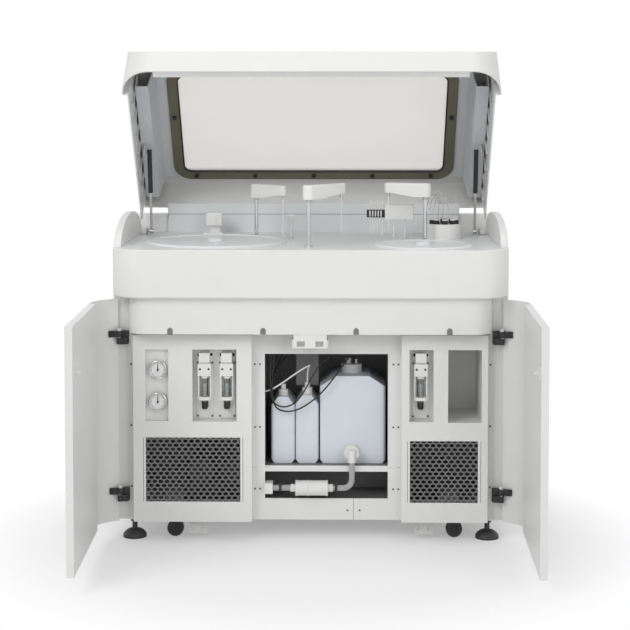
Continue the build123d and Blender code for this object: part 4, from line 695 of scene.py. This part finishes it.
WHITE_ROUTE = (
    (-139.5, 130, 450),
    (-122, 130, 450),
    (-33, 130, 514),
    (2, 132, 533),
    (-11.5, 178, 512),
    (-11.5, 178, 469),
)
BLACK_ROUTES = (
    (
        (-120, 118, BAY_TOP),
        (-131, 118, 430),
        (-85, 118, 396),
        (-33, 118, 423),
        (23, 118, 534),
        (60, 118, 555),
        (60, 118, BAY_TOP),
    ),
    (
        (-108, 124, BAY_TOP),
        (-134, 124, 410),
        (-60, 124, 378),
        (30, 124, 436),
        (106, 124, 540),
        (118, 124, 556),
        (118, 124, BAY_TOP),
    ),
    ((-112, 150, BAY_TOP), (-128, 150, 500), (-120, 160, 440), (-86, 178, 490), (-85.5, 178, 466)),
    ((-96, 170, BAY_TOP), (-118, 176, 520), (-104, 178, 496), (-85.5, 178, 505), (-85.5, 178, 464)),
    ((-60, 200, BAY_TOP), (-80, 200, 540), (-118, 200, 500), (-131, 190, 440), (-131, 180, 300)),
    ((-75, 220, BAY_TOP), (-98, 220, 535), (-126, 215, 470), (-133, 205, 300)),
)
white_tube = tube("bay_tube_white", [at(*point) for point in WHITE_ROUTE], 2.4, "block", "cabinet")
for number, route in enumerate(BLACK_ROUTES):
    tube(f"bay_tube_{number}", [at(*point) for point in route], 2.3, "rubber", "cabinet")
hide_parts("bay_tubes")

# Hose clamps and the filter's ribs
bm = bmesh.new()
for x in (-92.0, 78.0):
    band = [(9.2, -4), (11.6, -4), (11.6, 4), (9.2, 4)]
    add_turned(bm, band, placed(x, DRAIN_DEPTH, DRAIN_Z, ALONG_X), 28)
    add_box(bm, (x - 5, x + 5), (DRAIN_DEPTH - 6, DRAIN_DEPTH + 6), (DRAIN_Z + 9.5, DRAIN_Z + 16), 1.0)
piece("hose_clamps", bm, "hinge", "cabinet")
bm = bmesh.new()
for x in (-43.0, -8.0, 50.0):
    ring = [(22.8, -3), (24.2, -2.4), (24.2, 2.4), (22.8, 3)]
    add_turned(bm, ring, placed(x, DRAIN_DEPTH, DRAIN_Z, ALONG_X), 36)
piece("filter_rings", bm, "block", "cabinet")

# Dark covers over the moving halves of the door hinges
for side, body in ((-1, "left_door"), (1, "right_door")):
    bm = bmesh.new()
    leaf = sorted((side * (DOOR_HINGE_X - 1.0), side * (DOOR_HINGE_X + 31.6)))
    knuckle = sorted((side * (DOOR_HINGE_X - 8.5), side * (DOOR_HINGE_X + 8.5)))
    for low in HINGE_LEVELS:
        upper = (low + 20.6, low + 40.5)
        add_box(bm, leaf, (71.2, 83.2), upper, 1.0)
        add_box(bm, knuckle, (69.5, 86.5), upper, 2.0)
    piece(body + "_hinge_halves", bm, "hinge", body)

# Stage and light


def white_floor():
    """A floor that keeps the shadow near the object and fades to pure white away from it."""
    material, tree, shader = new_material("floor_white", (0.93, 0.93, 0.93), 0.6)
    place = add_node(tree, "ShaderNodeNewGeometry")
    away = add_node(tree, "ShaderNodeVectorMath", operation="LENGTH")
    spread = add_node(tree, "ShaderNodeMapRange")
    for name, value in (("From Min", 0.70), ("From Max", 1.05), ("To Min", 0.30), ("To Max", 1.0)):
        spread.inputs[name].default_value = value
    path = add_node(tree, "ShaderNodeLightPath")
    fade = add_node(tree, "ShaderNodeMath", operation="MULTIPLY")
    glow = add_node(tree, "ShaderNodeEmission", Color=(1, 1, 1, 1), Strength=1.0)
    mix = add_node(tree, "ShaderNodeMixShader")
    tree.links.new(place.outputs["Position"], away.inputs[0])
    tree.links.new(away.outputs["Value"], spread.inputs["Value"])
    tree.links.new(path.outputs["Is Camera Ray"], fade.inputs[0])
    tree.links.new(spread.outputs["Result"], fade.inputs[1])
    tree.links.new(fade.outputs["Value"], mix.inputs["Fac"])
    tree.links.new(shader.outputs["BSDF"], mix.inputs[1])
    tree.links.new(glow.outputs["Emission"], mix.inputs[2])
    tree.links.new(mix.outputs["Shader"], tree.nodes["Material Output"].inputs["Surface"])
    bm = bmesh.new()
    bmesh.ops.create_grid(bm, x_segments=8, y_segments=8, size=9.0)
    data = bpy.data.meshes.new("floor")
    bm.to_mesh(data)
    bm.free()
    data.materials.append(material)
    floor = bpy.data.objects.new("floor", data)
    scene.collection.objects.link(floor)


def studio_world():
    """A soft light all round, shown as pure white to the camera, in reflections and through glass."""
    world = bpy.data.worlds.new("studio")
    scene.world = world
    world.use_nodes = True
    tree = world.node_tree
    soft = tree.nodes["Background"]
    soft.inputs["Color"].default_value = (1, 1, 1, 1)
    soft.inputs["Strength"].default_value = 0.55
    shown = add_node(tree, "ShaderNodeBackground", Color=(1, 1, 1, 1), Strength=1.0)
    path = add_node(tree, "ShaderNodeLightPath")
    seen = add_node(tree, "ShaderNodeMath", operation="MAXIMUM")
    seen_or_through = add_node(tree, "ShaderNodeMath", operation="MAXIMUM")
    mix = add_node(tree, "ShaderNodeMixShader")
    tree.links.new(path.outputs["Is Camera Ray"], seen.inputs[0])
    tree.links.new(path.outputs["Is Glossy Ray"], seen.inputs[1])
    tree.links.new(seen.outputs["Value"], seen_or_through.inputs[0])
    tree.links.new(path.outputs["Is Transmission Ray"], seen_or_through.inputs[1])
    tree.links.new(seen_or_through.outputs["Value"], mix.inputs["Fac"])
    tree.links.new(soft.outputs["Background"], mix.inputs[1])
    tree.links.new(shown.outputs["Background"], mix.inputs[2])
    tree.links.new(mix.outputs["Shader"], tree.nodes["World Output"].inputs["Surface"])


def lamp(name, place, aim, size, power):
    """A rectangular lamp at a place in metres, turned to its aim."""
    light = bpy.data.lights.new(name, "AREA")
    light.shape = "RECTANGLE"
    light.size, light.size_y = size
    light.energy = power
    thing = bpy.data.objects.new(name, light)
    scene.collection.objects.link(thing)
    thing.location = place
    thing.rotation_euler = (Vector(aim) - Vector(place)).to_track_quat("-Z", "Y").to_euler()


scene = bpy.context.scene
white_floor()
studio_world()
lamp("key", (-2.6, -3.4, 3.4), (0, 0, 0.8), (2.2, 2.2), 74.0)
lamp("fill", (2.8, -3.6, 2.0), (0, 0, 0.7), (2.4, 2.4), 36.0)
lamp("top", (0.0, 0.2, 4.2), (0, 0, 0.9), (2.6, 2.0), 25.0)

camera = bpy.data.cameras.new("camera")
camera.sensor_width = SENSOR
camera.lens = FOCAL_PIXELS / PICTURE * SENSOR
camera.shift_y = CAMERA_SHIFT
view = bpy.data.objects.new("camera", camera)
scene.collection.objects.link(view)
view.location = at(CAMERA_X, -CAMERA_AWAY, CAMERA_Z)
view.rotation_euler = (math.radians(90 - CAMERA_DOWN), 0, math.radians(CAMERA_TURN))
scene.camera = view
scene.view_settings.view_transform = "Standard"
